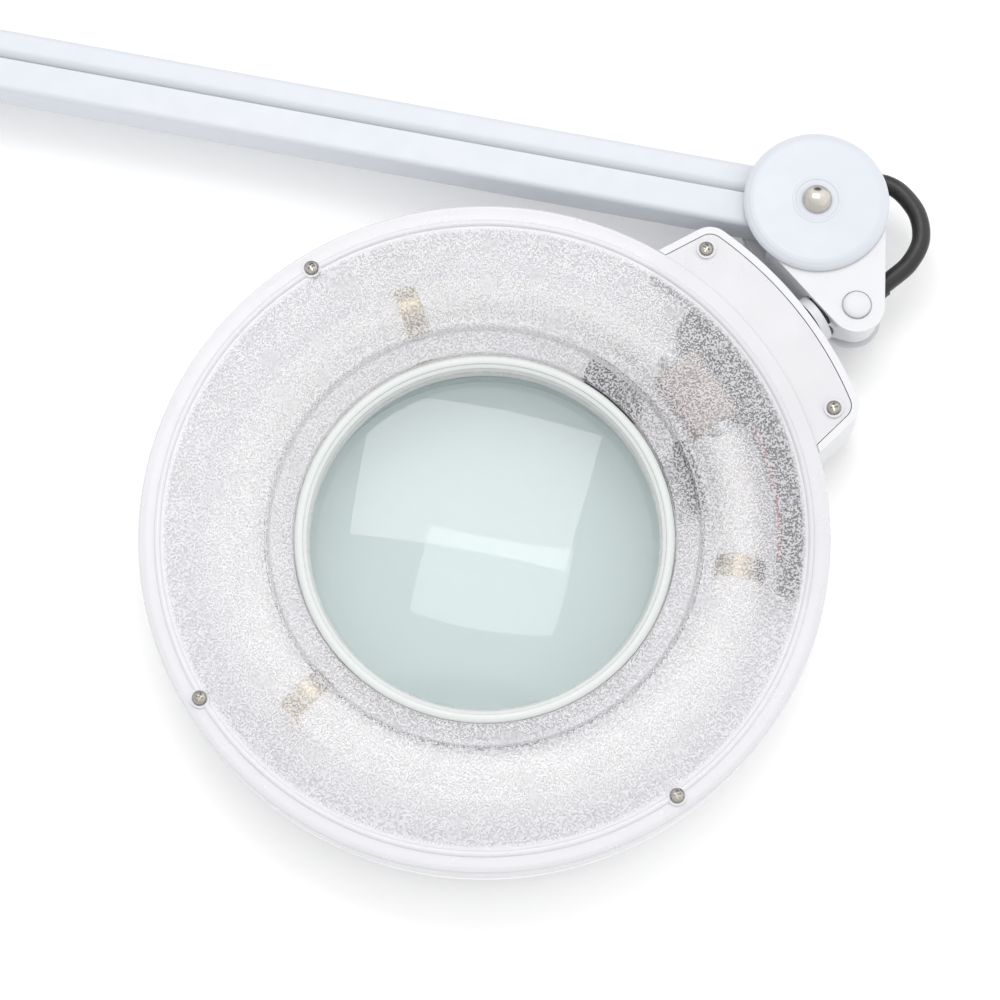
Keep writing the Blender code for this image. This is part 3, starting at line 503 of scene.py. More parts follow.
def remap(tree, value, span, result=UNIT, smooth=False):
    """A value carried from one range to another."""
    ramp = tree.nodes.new("ShaderNodeMapRange")
    ramp.interpolation_type = "SMOOTHSTEP" if smooth else "LINEAR"
    ramp.inputs["From Min"].default_value, ramp.inputs["From Max"].default_value = span
    ramp.inputs["To Min"].default_value, ramp.inputs["To Max"].default_value = result
    tree.links.new(value, ramp.inputs["Value"])
    return ramp.outputs["Result"]


def noise(tree, scale, detail=3.0, distortion=0.0):
    """A noise texture in the lamp's own metres."""
    place = tree.nodes.new("ShaderNodeTexCoord")
    texture = tree.nodes.new("ShaderNodeTexNoise")
    texture.inputs["Scale"].default_value = scale
    texture.inputs["Detail"].default_value = detail
    texture.inputs["Distortion"].default_value = distortion
    tree.links.new(place.outputs["Object"], texture.inputs["Vector"])
    return texture.outputs["Fac"]


def head_radius(tree):
    """The distance from the lens's axis."""
    place = tree.nodes.new("ShaderNodeTexCoord")
    flatten = tree.nodes.new("ShaderNodeVectorMath")
    flatten.operation = "MULTIPLY"
    flatten.inputs[1].default_value = (1.0, 1.0, 0.0)
    radius = tree.nodes.new("ShaderNodeVectorMath")
    radius.operation = "DISTANCE"
    radius.inputs[1].default_value = (HEAD.x, HEAD.y, 0.0)
    tree.links.new(place.outputs["Object"], flatten.inputs[0])
    tree.links.new(flatten.outputs[0], radius.inputs[0])
    return radius.outputs["Value"]


def feed(tree, value, socket):
    tree.links.new(value, tree.nodes["Principled BSDF"].inputs[socket])


def tinted(tree, value, first, second):
    """Varies the base colour between two close colours."""
    ramp = tree.nodes.new("ShaderNodeValToRGB")
    for element, position, colour in zip(ramp.color_ramp.elements, TINT_SPAN, (first, second)):
        element.position = position
        element.color = (*colour, 1.0)
    tree.links.new(value, ramp.inputs["Fac"])
    feed(tree, ramp.outputs["Color"], "Base Color")


def glossed(tree, value, low, high):
    """Varies the roughness from low to high."""
    feed(tree, remap(tree, value, GLOSS_SPAN, (low, high)), "Roughness")


def bumped(tree, value, strength, distance):
    bump = tree.nodes.new("ShaderNodeBump")
    bump.inputs["Strength"].default_value = strength
    bump.inputs["Distance"].default_value = distance
    tree.links.new(value, bump.inputs["Height"])
    feed(tree, bump.outputs["Normal"], "Normal")


def surface(name, kind, first, second, roughness):
    """Powder coat, plated metal or moulded plastic, whose colour and gloss drift a little."""
    metallic, tint, gloss, (below, above), grain, bump = SURFACES[kind]
    made = new_material(name, first, roughness, metallic)
    tree = made.node_tree
    tinted(tree, noise(tree, *tint), first, second)
    glossed(tree, noise(tree, *gloss), roughness - below, roughness + above)
    bumped(tree, noise(tree, *grain), *bump)
    return made


def frosted_plastic(name):
    """Milky plastic with clear worm-like grooves moulded in its face, which stop short of its rim and ear."""
    made = new_material(name, (0.80, 0.795, 0.825), 0.2, 0.0, Transmission_Weight=0.5, IOR=1.46)
    tree = made.node_tree
    inside = remap(tree, head_radius(tree), GROOVED_RADIUS, (1.0, 0.0))
    grooves = remap(tree, noise(tree, GROOVE_SCALE, 0.0, 0.4), GROOVE_EDGE, smooth=True)
    grooves = arithmetic(tree, "MULTIPLY", grooves, inside)
    smooth_share = remap(tree, inside, UNIT, CLEAR_SHARE)
    groove_share = remap(tree, grooves, UNIT, (0.0, GROOVE_SHARE))
    feed(tree, arithmetic(tree, "ADD", smooth_share, groove_share), "Transmission Weight")
    glossed(tree, noise(tree, 90.0), 0.16, 0.3)
    bumped(tree, remap(tree, grooves, UNIT, (1.0, 0.0)), 0.5, 0.00003)
    return made


def clear_plastic(name):
    made = new_material(name, (0.99, 0.988, 0.995), 0.12, 0.0, Transmission_Weight=0.96, IOR=1.46)
    glossed(made.node_tree, noise(made.node_tree, 90.0), 0.08, 0.18)
    return made


def lens_glass(name):
    """Slightly green glass with the faintest smears on its polish."""
    made = new_material(name, (0.895, 0.975, 0.968), 0.0, 0.0, Transmission_Weight=1.0, IOR=1.52)
    glossed(made.node_tree, noise(made.node_tree, 30.0, 4.0), 0.0, 0.012)
    return made


def glowing(made, colour, strength):
    """A little light of its own, for a white surface lit by more bounces than are traced."""
    shader = made.node_tree.nodes["Principled BSDF"]
    shader.inputs["Emission Color"].default_value = (*colour, 1.0)
    shader.inputs["Emission Strength"].default_value = strength
    return made


def make_materials():
    made = {name: surface(name, *looks) for name, looks in FINISHES.items()}
    for name, light in GLOWS.items():
        glowing(made[name], *light)
    made["frosted_plastic"] = frosted_plastic("frosted_plastic")
    made["clear_plastic"] = clear_plastic("clear_plastic")
    made["lens_glass"] = lens_glass("lens_glass")
    return made


MATERIALS = make_materials()


# ======== arm joints

def pin_places(prefix):
    return [flat(centre(f"{prefix}_pin_{label}")) for label in ("outer", "inner")]


def pin_bores(prefixes):
    bores = []
    for prefix in prefixes:
        bores += [through(PIN_RADIUS, place) for place in pin_places(prefix)]
        bores.append(through(BOLT_RADIUS, centre(f"{prefix}_bolt")))
    return joined(*bores)


def bracket_mesh(outline, middle, prefixes):
    """Two cheeks held apart by what lies between them, with the bores of its joints."""
    mesh = united(plate(outline, LOW, LOW + SHEET), middle)
    mesh = united(mesh, plate(outline, HIGH - SHEET, HIGH))
    return cut(mesh, pin_bores(prefixes))


def web_mesh(start, end, normal):
    """The bent side that joins two cheeks."""
    web = [start, end, end - SHEET * normal, start - SHEET * normal]
    return plate(web, LOW + SHEET / 2, HIGH - SHEET / 2)


def disc_profile():
    """A pressed cover: a broad face, a soft bevel, and a ring round the bolt."""
    face = DISC_THICK
    top = [
        (BOLT_RADIUS + BORE, face), (0.0074, face), (0.0077, face + 0.00022), (0.0084, face + 0.00022),
        (0.0087, face), (DISC_RADIUS - 0.0034, face), (DISC_RADIUS - 0.0022, face - 0.0003),
        (DISC_RADIUS - 0.0008, face - 0.0012), (DISC_RADIUS, face - 0.0022), (DISC_RADIUS, 0.0),
        (BOLT_RADIUS + BORE, 0.0),
    ]
    return rounded(top, 0.0003, 3)


def bolt_profile():
    seat = KNUCKLE_HALF + DISC_THICK + 2 * GAP
    dome, rise, steps = 0.0052, 0.0034, 10
    lean = pi / 2 / steps
    curve = [(dome * cos(i * lean), rise * sin(i * lean)) for i in range(steps)]
    top = [(r, MID + seat + z) for r, z in curve] + [(0.0, MID + seat + rise)]
    bottom = [(r, MID - seat - z) for r, z in curve] + [(0.0, MID - seat - rise)]
    shaft = [(BOLT_RADIUS, MID - seat), (BOLT_RADIUS, MID + seat)]
    return bottom[::-1] + shaft + top


def joint_hardware(prefix, body):
    place = flat(centre(f"{prefix}_bolt"))
    for side, sign in (("front", 1.0), ("back", -1.0)):
        face = MID + sign * (KNUCKLE_HALF + GAP)
        mesh = turned([(r, face + sign * z) for r, z in disc_profile()], 128)
        node = f"{prefix}_disc_{side}"
        piece(f"{node}_cover", moved(mesh, at(place)), body, "arm_paint", [node])
    bolt = moved(turned(bolt_profile(), 48), at(place))
    piece(f"{prefix}_dome_bolt", bolt, body, "nickel", [f"{prefix}_bolt"])
    for label, pin in zip(("outer", "inner"), pin_places(prefix)):
        reach = KNUCKLE_HALF + GAP / 2
        low, high = MID - reach, MID + reach
        profile = [(0.0, low), (PIN_RADIUS, low), (PIN_RADIUS, high), (0.0, high)]
        node = f"{prefix}_pin_{label}"
        mesh = moved(turned(profile, 32), at(pin))
        piece(f"{node}_rivet", mesh, body, "zinc_steel", [node], bevel=0.0003)


# ======== arm sections

def channel_section(half_height, web, flange_edge, toward):
    corner = Vector((web + toward * BEND, half_height - BEND))
    outer = []
    inner = []
    for i in range(7):
        angle = radians(15.0 * i)
        way = Vector((-toward * cos(angle), sin(angle)))
        outer.append(corner + BEND * way)
        inner.append(corner + (BEND - CHANNEL_SHEET) * way)
    upper = outer + [Vector((flange_edge, half_height)), Vector((flange_edge, half_height - CHANNEL_SHEET))]
    upper += inner[::-1]
    return upper + [Vector((p.x, -p.y)) for p in reversed(upper)]


def channel(start, end, section):
    axes = Matrix(((0.0, 0.0, 1.0, 0.0), (1.0, 0.0, 0.0, 0.0), (0.0, 1.0, 0.0, 0.0), (0.0, 0.0, 0.0, 1.0)))
    return moved(plate(section, start, end), Matrix.Translation((0.0, 0.0, MID)) @ axes)


def rolled_channel(start, end, section, edge):
    """A channel whose flanges roll down towards a line, over a band that widens along the arm."""
    mesh = channel(start, end, section)
    side = 1.0 if edge > section[0].x else -1.0
    steps = 12
    for plane in [edge - side * ROLL_WIDTHS[1] * i / steps for i in range(steps + 1)]:
        bmesh.ops.bisect_plane(mesh, geom=mesh.verts[:] + mesh.edges[:] + mesh.faces[:],
                               plane_co=(0.0, plane, 0.0), plane_no=(0.0, 1.0, 0.0), dist=1e-7)
    for vert in mesh.verts:
        share = min(1.0, max(0.0, (vert.co.x - start) / (end - start)))
        width = ROLL_WIDTHS[0] + (ROLL_WIDTHS[1] - ROLL_WIDTHS[0]) * share
        depth = 1.0 + (vert.co.y - edge) * side / width
        if depth > 0.0:
            level = vert.co.z - MID
            vert.co.z = MID + level - copysign(ROLL_DROP * min(1.0, depth) ** 2, level)
    return mesh


def eye_cutter(pin_x, outward, web, flange, notch_from, notch_level):
    """What comes off one end of a channel, so that its end is a rounded eye with its flange edge set back."""
    side = 1.0 if flange > web else -1.0
    past = pin_x + outward * 0.012
    beyond = flange + side * 0.004
    behind = web - side * 0.002
    points = [Vector((pin_x - outward * notch_from, beyond)),
              Vector((pin_x - outward * (notch_from - 0.001), side * notch_level))]
    start = pi - asin(notch_level / EYE)
    steps = 20
    for i in range(steps + 1):
        angle = start * (1.0 - i / steps)
        points.append(Vector((pin_x + outward * EYE * cos(angle), side * EYE * sin(angle))))
    points += [Vector((pin_x + outward * EYE, behind)), Vector((past, behind)), Vector((past, beyond))]
    return plate(points, 0.0, 2 * MID)


def arm_channel(half_height, web, flange, notch, rolled=False):
    """One link, with a rounded eye and a pin's bore at each end."""
    section = channel_section(half_height, web, flange, 1.0 if flange > web else -1.0)
    start, end = -LINK_OVERRUN, ARM + LINK_OVERRUN
    if rolled:
        mesh = rolled_channel(start, end, section, -copysign(ROLL_LINE, web))
    else:
        mesh = channel(start, end, section)
    for pin_x, outward in ((0.0, -1.0), (ARM, 1.0)):
        mesh = cut(mesh, eye_cutter(pin_x, outward, web, flange, *notch))
    return cut(mesh, joined(*[through(PIN_RADIUS, (x, 0.0)) for x in (0.0, ARM)]))


def coil_path():
    """A closed-wound tension spring along X with a straight hook wire at each end."""
    first, last = SPRING_SPAN
    turns = (last - first) / SPRING_PITCH
    steps = int(turns * 14)
    path = [Vector((HOOK_STARTS[0] + HOOK_STEP * i, 0.0, 0.0)) for i in range(12)]
    for i in range(steps + 1):
        angle = 2.0 * pi * turns * i / steps
        x = first + (last - first) * i / steps
        path.append(Vector((x, SPRING_MEAN * sin(angle), SPRING_MEAN * cos(angle))))
    return path + [Vector((HOOK_STARTS[1] + HOOK_STEP * i, 0.0, 0.0)) for i in range(13)]


def arm_section(prefix, pins, angle, swap):
    """The two nested links of one arm section, with the spring and the lead inside them."""
    outer_frame, inner_frame = (at(pin, angle) for pin in pins)
    outer = arm_channel(OUTER_HALF, swap * WEB, -swap * OUTER_FLANGE, OUTER_NOTCH)
    if prefix == "lower":
        outer = cut(outer, moved(disc(GROMMET_BORE, -0.0030, 0.0010), grommet_seat()))
    inner = arm_channel(INNER_HALF, -swap * WEB, swap * INNER_FLANGE, INNER_NOTCH, rolled=True)
    for label, mesh, place in (("outer", outer, outer_frame), ("inner", inner, inner_frame)):
        piece(f"{prefix}_{label}_channel", moved(mesh, place), f"{prefix}_{label}", "arm_paint",
              [f"{prefix}_arm_{label}"], bevel=0.00025)
    coil = sweep(coil_path(), SPRING_WIRE, 6)
    piece(f"{prefix}_coil_spring", moved(coil, inner_frame @ at((0.0, swap * SPRING_SIDE), 0.0, MID)),
          f"{prefix}_inner", "zinc_steel", [f"{prefix}_spring"], sharp=80.0)
    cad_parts[f"{prefix}_arm_lead"].data.materials[0] = MATERIALS["black_rubber"]


def grommet_seat():
    return Matrix.Translation((GROMMET_X, WEB, MID)) @ Matrix.Rotation(-pi / 2, 4, "X")


def lead_grommet(outer_frame):
    profile = [(0.0034, -0.0014), (0.0043, -0.0014), (0.0043, GAP), (0.0056, GAP), (0.0052, 0.0022),
               (0.0044, 0.0031), (0.0034, 0.0032)]
    mesh = moved(turned(rounded(profile, 0.0003, 3), 48), outer_frame @ grommet_seat())
    piece("lead_bush", mesh, "lower_outer", "black_rubber", ["lead_grommet"])


# ======== brackets

def head_bracket():
    narrow = 0.0098
    outline = hull(WRIST, CHEEK_RADIUS, TILT, narrow)
    reach = TILT - WRIST
    lean = acos((CHEEK_RADIUS - narrow) / reach.length)
    way = atan2(reach.y, reach.x) - lean
    normal = Vector((cos(way), sin(way)))
    along = Vector((-normal.y, normal.x))
    start = WRIST + (CHEEK_RADIUS - GAP) * normal
    web = web_mesh(start + 0.001 * along, start + 0.024 * along, normal)
    mesh = bracket_mesh(outline, web, ["wrist"])
    lug_place = WRIST + Vector(HEAD_LEAD_ROUTE[0]) + Vector((0.5 * CLIP_LENGTH, 0.0))
    mesh = united(mesh, moved(disc(CLIP_LUG, LOW, LOW + SHEET), at(lug_place)))
    mesh = cut(mesh, through(TILT_RADIUS, TILT))
    floor, past = HIGH - 0.0008, HIGH + 0.001
    groove = [(0.0046, floor), (0.0053, floor), (0.0053, past), (0.0046, past)]
    mesh = cut(mesh, moved(turned(groove, 64), at(TILT)))
    piece("head_knuckle", mesh, "head_bracket", "white_paint", ["head_bracket"], bevel=0.0004)


def elbow_bracket():
    outline = hull(ELBOW, CHEEK_RADIUS, LOWER_ELBOW, CHEEK_RADIUS)
    along = (LOWER_ELBOW - ELBOW).normalized()
    normal = Vector((-along.y, along.x))
    reach = (CHEEK_RADIUS - GAP) * normal
    web = web_mesh(ELBOW + reach, LOWER_ELBOW + reach, normal)
    mesh = bracket_mesh(outline, web, ["elbow_upper", "elbow_lower"])
    piece("elbow_knuckle", mesh, "elbow_bracket", "white_paint", ["elbow_bracket"], bevel=0.0004)


def base_bracket():
    place = at(BASE, LOWER_ANGLE)
    along = Vector((cos(LOWER_ANGLE), sin(LOWER_ANGLE)))
    outline = hull(BASE, CHEEK_RADIUS, BASE + 0.034 * along, 0.0113)
    low, high = LOW + 0.001, HIGH - 0.001
    mesh = bracket_mesh(outline, moved(box(0.027, 0.044, -0.0095, 0.0095, low, high), place), ["base"])
    mesh = cut(mesh, moved(rod((0.030 - GAP, 0.0, MID), (0.060, 0.0, MID), SPIGOT_RADIUS + BORE), place))
    piece("base_knuckle", mesh, "base_bracket", "white_paint", ["base_bracket"], bevel=0.0005)
    spigot = moved(rod((0.030, 0.0, MID), (0.090, 0.0, MID), SPIGOT_RADIUS, 64), place)
    piece("base_spigot", spigot, "base_bracket", "zinc_steel", ["spigot"], bevel=0.0006)


# ======== clamp

def threaded(start, end, radius, pitch, depth):
    """A rod with a helical thread, along Z."""
    mesh = bmesh.new()
    sides = 32
    rows = int((end - start) / pitch * 8)
    rings = []
    for k in range(rows + 1):
        z = start + (end - start) * k / rows
        fade = min(1.0, (z - start) / pitch, (end - z) / pitch)
        ring = []
        for i in range(sides):
            phase = (z / pitch - i / sides) % 1.0
            r = radius - depth * (1.0 - abs(2.0 * phase - 1.0)) * fade
            turn = 2 * pi * i / sides
            ring.append(mesh.verts.new((r * cos(turn), r * sin(turn), z)))
        rings.append(ring)
    return closed_tube(mesh, rings)


def clamp():
    place = at(BASE, LOWER_ANGLE)
    back, inner_back = JAW_BACKS
    inside, outside = JAW_TOP + JAW_THICK, JAW_BOTTOM + JAW_THICK
    outline = [
        (JAW_TOP, back), (JAW_TOP, JAW_REACH), (inside, JAW_REACH), (inside, inner_back),
        (JAW_BOTTOM, inner_back), (JAW_BOTTOM, JAW_REACH), (outside, JAW_REACH), (outside, back),
    ]
    mesh = plate(rounded(outline, 0.0016, 6), 0.0, 2 * MID)
    mesh = united(mesh, box(0.046, 0.096, -0.0125, 0.013, 0.009, 0.035))
    bores = joined(
        rod((0.040, 0.0, MID), (0.0906, 0.0, MID), SPIGOT_RADIUS + BORE),
        rod((JAW_BOTTOM - 0.002, CLAMP_SCREW_Y, MID), (JAW_BOTTOM + 0.010, CLAMP_SCREW_Y, MID),
            CLAMP_SCREW_RADIUS + BORE),
    )
    mesh = cut(mesh, bores)
    piece("clamp_frame", moved(mesh, place), "root", "white_paint", ["clamp_body"], bevel=0.0012)

    screw_axis = Matrix.Translation((0.0, CLAMP_SCREW_Y, MID)) @ Matrix.Rotation(pi / 2, 4, "Y")
    screw = threaded(PAD_X + PAD_THICK + GAP, 0.147, CLAMP_SCREW_RADIUS, THREAD_PITCH, THREAD_DEPTH)
    screw = moved(screw, screw_axis)
    boss = [(0.0, 0.1465), (CLAMP_SCREW_RADIUS, 0.1465), (CLAMP_SCREW_RADIUS, 0.1570), (0.0040, 0.1580),
            (0.0, 0.1580)]
    boss = moved(turned(boss, 48), screw_axis)
    ends = []
    for side in (-1.0, 1.0):
        ball = bmesh.new()
        bmesh.ops.create_uvsphere(ball, u_segments=24, v_segments=16, radius=BALL_RADIUS)
        ends.append(moved(ball, Matrix.Translation((HANDLE_X, CLAMP_SCREW_Y + side * BALL_REACH, MID))))
    low, high = CLAMP_SCREW_Y - HANDLE_HALF, CLAMP_SCREW_Y + HANDLE_HALF
    bar = rod((HANDLE_X, low, MID), (HANDLE_X, high, MID), HANDLE_RADIUS, 32)
    mesh = moved(joined(screw, boss, bar, *ends), place)
    piece("clamp_thumbscrew", mesh, "clamp_screw", "zinc_steel", ["clamp_screw"])

    pad_axis = Matrix.Translation((PAD_X, CLAMP_SCREW_Y, MID)) @ Matrix.Rotation(pi / 2, 4, "Y")
    profile = [(0.0, 0.0), (0.0110, 0.0), (0.0112, 0.0004), (0.0120, 0.0004), (0.0122, 0.0), (0.0136, 0.0),
               (0.0140, 0.0008), (0.0140, 0.0022), (0.0128, 0.0028), (0.0090, 0.0034), (0.0080, PAD_THICK),
               (0.0, PAD_THICK)]
    pad = moved(turned(profile, 64), place @ pad_axis)
    piece("clamp_swivel_pad", pad, "clamp_pad", "black_rubber", ["clamp_pad"])


# ======== head

def ear_outline(inset, root_radius):
    """The part of the head that reaches out to the arm: two sides that draw in towards a round tip."""
    origin = Vector((0.0, 0.0))
    normal = Vector((sin(EAR_TAPER), cos(EAR_TAPER)))
    along = Vector((cos(EAR_TAPER), -sin(EAR_TAPER)))
    side = EAR_SIDE - inset
    corner = EAR_CORNER - inset
    tip = EAR_RADIUS - inset
    middle = (side - corner) * normal + sqrt((tip - corner) ** 2 - (side - corner) ** 2) * along
    root = side * normal + sqrt(root_radius**2 - side**2) * along
    lean = atan2(middle.y, middle.x)
    spread_angle = atan2(root.y, root.x)
    left = arc(middle, corner, lean, atan2(normal.y, normal.x), 10) + [root]
    right = [Vector((p.x, -p.y)) for p in reversed(left)]
    outline = right + arc(origin, tip, -lean, lean, 28)[1:-1] + left
    outline += arc(origin, root_radius, spread_angle, -spread_angle, 28)[1:-1]
    place = at(HEAD, EAR_ANGLE)
    return [flat(place @ p.to_3d()) for p in outline]


def seat_of(screw):
    """The height of the face under a screw's head: the rim's, or the ear's a little lower."""
    return COVER_TOP if (flat(screw) - HEAD).length < 0.120 else EAR_TOP


def posts(bottom, top, radius, segments=28):
    """A cylinder at each cover screw, from one height to another measured from the screw's seat."""
    return joined(*[moved(disc(radius, bottom, seat_of(s) + top, segments), at(s)) for s in SCREWS])


def housing_profile():
    shoulder = Vector((0.0985, 0.0185))
    outer = arc(shoulder, 0.0185, radians(-90.0), 0.0, 14)
    inner = arc(shoulder, 0.0185 - SHELL, 0.0, radians(-90.0), 12)
    collar_in, collar_out = 0.0610, 0.0660
    seat = LENS_Z - LENS_SEAT
    profile = [Vector((collar_in, 0.0))] + outer
    profile += [Vector(p) for p in ((HEAD_RADIUS, RIM_TOP), (HEAD_RADIUS - SHELL, RIM_TOP))] + inner
    profile += [Vector(p) for p in ((collar_out, SHELL), (collar_out, 0.0220), (0.0640, 0.0220),
                                    (0.0640, seat), (collar_in, seat))]
    return rounded(profile, 0.0005, 3)


def stem_rod(span, radius, sides=40):
    """A round bar on the stem's axis."""
    start, end = (polar(HEAD, reach, STEM_ANGLE) for reach in span)
    return rod((start.x, start.y, MID), (end.x, end.y, MID), radius, sides)


def stem_ring(span, radius, bore, sides, bore_sides=40):
    past = 0.001
    cutter = stem_rod((span[0] - past, span[1] + past), bore, bore_sides)
    return cut(stem_rod(span, radius, sides), cutter)


def head_housing():
    mesh = moved(turned(housing_profile(), RIM_SIDES), at(HEAD))
    mesh = united(mesh, plate(ear_outline(0.0, 0.1138), EAR_FLOOR, EAR_TOP))
    mesh = cut(mesh, plate(ear_outline(SHELL + GAP, 0.1050), EAR_FLOOR + SHELL, EAR_TOP + 0.005))
    rim_seat = [(0.1080, RIM_TOP + 0.0001), (HEAD_RADIUS + GAP, RIM_TOP + 0.0001), (HEAD_RADIUS + GAP, 0.040),
                (0.1080, 0.040)]
    mesh = cut(mesh, moved(turned(rim_seat, RIM_SIDES), at(HEAD)))
    mesh = united(mesh, posts(0.0115, -0.0030, 0.0034))
    mesh = cut(mesh, posts(0.0160, 0.0, SCREW_BORE))
    stem = stem_rod(STEM_HOLE_SPAN, STEM_RADIUS + BORE)
    opening = moved(box(-0.0093, 0.0093, -0.0067, 0.0067, 0.006, 0.016), at(SWITCH, EAR_ANGLE + pi / 2))
    mesh = cut(mesh, joined(stem, opening))
    shell = piece("head_shell", mesh, "head", "white_paint", ["head_housing"], sharp=30.0,
                  bevel=0.0004)
    # Painted light: the faces inside the head take the brighter white, which also glows faintly.
    shell.data.materials.append(MATERIALS["inner_white_painted_light"])
    for face in shell.data.polygons:
        reach = (flat(face.center) - HEAD).length
        above_floor = face.center.z > SHELL - 0.0001 and face.normal.z > -0.3
        inside = 0.0665 < reach < HEAD_RADIUS - 0.001 and face.center.z < 0.033
        face.material_index = int(above_floor and inside)


def diffuser():
    """The cover: a smooth rim with a raised line, a pebbled ring, a step down to the lens, and bosses."""
    top = [(HEAD_RADIUS, COVER_TOP - 0.0006), (HEAD_RADIUS - 0.0005, COVER_TOP - 0.0001), (0.1133, COVER_TOP)]
    top += [(0.1118 + 0.0011 * cos(a), COVER_TOP + 0.0010 * sin(a))
            for a in (pi * i / 8 for i in range(9))]
    top += [(0.1060, 0.0359), (0.1000, 0.0358), (0.0930, 0.0355), (0.0860, 0.0348), (0.0800, 0.0339),
            (0.0765, 0.0333), (0.0757, 0.0334), (0.0751, 0.0332), (0.0744, 0.0326), (0.0740, 0.0316),
            (0.0736, 0.0311), (0.0700, 0.0306), (0.0672, 0.0302), (0.0663, 0.0300), (0.0660, 0.0295)]
    bottom = [(0.0660, 0.0284), (0.0690, 0.0286), (0.0746, 0.0292), (0.0752, 0.0300), (0.0758, 0.0312),
              (0.0800, 0.0320), (0.0860, 0.0330), (0.0930, 0.0337), (0.1000, 0.0341), (0.1120, RIM_TOP + GAP),
              (HEAD_RADIUS, RIM_TOP + GAP)]
    mesh = moved(turned([Vector(p) for p in top + bottom], RIM_SIDES), at(HEAD))
    mesh = united(mesh, plate(ear_outline(SHELL + 2 * GAP, 0.1136), 0.0328, EAR_TOP - 0.0002))
    mesh = united(mesh, posts(0.0331, 0.0006, 0.0034, 40))
    mesh = cut(mesh, posts(0.0300, 0.002, SCREW_BORE))
    mesh = cut(mesh, joined(*[moved(disc(0.0027, seat_of(s) - GAP / 2, 0.040, 40), at(s)) for s in SCREWS]))
    cover = piece("frosted_cover", mesh, "head", "frosted_plastic", ["diffuser"],
                  sharp=32.0, bevel=0.0002)
    cover.data.materials.append(MATERIALS["clear_plastic"])
    for face in cover.data.polygons:
        face.material_index = int(face.normal.z < -0.2)


def cover_screws():
    """Pan-head screws with a cross recess, each turned to its own angle."""
    for i, screw in enumerate(SCREWS, 1):
        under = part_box(f"diffuser_screw_{i}")[1].z - 0.0017
        head = arc(Vector((0.0, under + 0.0002)), 0.0023, 0.0, radians(70.0), 7)
        head = [Vector((p.x, under + 0.0003 + (p.y - under - 0.0002) * 0.62)) for p in head]
        profile = [Vector((0.0, under - 0.0130)), Vector((0.0013, under - 0.0120)), Vector((0.0013, under)),
                   Vector((0.0021, under)), Vector((0.0023, under + 0.0002))]
        profile += head[1:] + [Vector((0.0, under + 0.0017))]
        mesh = turned(profile, 40)
        arms = [box(-0.0014, 0.0014, -0.00034, 0.00034, under + 0.0004, under + 0.003),
                box(-0.00034, 0.00034, -0.0014, 0.0014, under + 0.0004, under + 0.003)]
        mesh = cut(mesh, united(*arms))
        mesh = moved(mesh, at(screw, 0.7 * i))
        # Painted shade: the screws' nickel is darker, for their dark rims and recesses.
        piece(f"cover_screw_{i}", mesh, "head", "screw_nickel_painted_shade", [f"diffuser_screw_{i}"], bevel=0.0001)


def lens_and_ring():
    half = LENS_EDGE / 2
    steps = 28
    depth = LENS_CURVE - sqrt(LENS_CURVE**2 - LENS_RADIUS**2)
    face = []
    for i in range(steps + 1):
        r = LENS_RADIUS * (1 - i / steps)
        face.append((r, half + depth - (LENS_CURVE - sqrt(LENS_CURVE**2 - r * r))))
    profile = [(r, LENS_Z - z) for r, z in reversed(face)] + [(r, LENS_Z + z) for r, z in face]
    piece("magnifying_lens", moved(turned(profile, RIM_SIDES), at(HEAD)), "head",
          "lens_glass", ["lens"])

    low = LENS_Z + LENS_SEAT
    profile = [(0.0612, low), (0.0637, low), (0.0637, 0.0223), (0.0657, 0.0223), (0.0657, 0.0278),
               (0.0654, 0.0285), (0.0649, 0.0287), (0.0630, 0.0288), (0.0626, 0.0286), (0.0624, 0.0281),
               (0.0617, 0.0279), (0.0612, 0.0276), (0.0610, 0.0270), (0.0606, 0.0266), (0.0603, 0.0260)]
    for i in range(4):
        z = 0.0252 - 0.0010 * i
        profile += [(0.0603, z), (0.0606, z - 0.0003), (0.0606, z - 0.0006), (0.0603, z - 0.0008)]
    mesh = moved(turned(profile, RIM_SIDES), at(HEAD))
    # Painted shade and a painted green reflection: the ring's white is greyer and greener than the paint.
    piece("lens_retainer", mesh, "head", "ring_white_painted_shade_reflection", ["lens_ring"], bevel=0.0001)


def lighting():
    profile = [(0.0690, 0.0040), (0.0972, 0.0040), (0.0985, 0.0080), (0.0973, 0.0080), (0.0962, 0.0052),
               (0.0690, 0.0052)]
    mesh = turned(rounded(profile, 0.0006, 4), RIM_SIDES)
    # Painted light: the reflector takes the brighter, faintly glowing white.
    piece("tube_reflector", moved(mesh, at(HEAD)), "head", "inner_white_painted_light", ["reflector"])

    section = arc(Vector((TUBE_RING, TUBE_Z)), TUBE_RADIUS, 0.0, 2.0 * pi * 31 / 32, 31)
    ring = moved(turned(section, RIM_SIDES), at(TUBE_CENTRE))
    piece("ring_tube", ring, "head", "tube_glass", ["circular_tube"], sharp=60.0)
    place = at(TUBE_CENTRE, SOCKET_ANGLE)
    block = box(TUBE_RING - 0.0092, TUBE_RING + 0.0092, -0.014, 0.014, 0.0088, 0.0272)
    piece("tube_base", moved(block, place), "head", "socket", bevel=0.003)
    for side, label in ((-1.0, "first"), (1.0, "second")):
        collar = turned([(TUBE_RADIUS + 0.0001, -0.0018), (TUBE_RADIUS + 0.0008, -0.0018),
                         (TUBE_RADIUS + 0.0008, 0.0018), (TUBE_RADIUS + 0.0001, 0.0018)], 48)
        stand = Matrix.Translation((TUBE_RING, side * 0.0158, TUBE_Z)) @ STAND
        piece(f"tube_cap_{label}", moved(collar, place @ stand), "head", "zinc_steel")


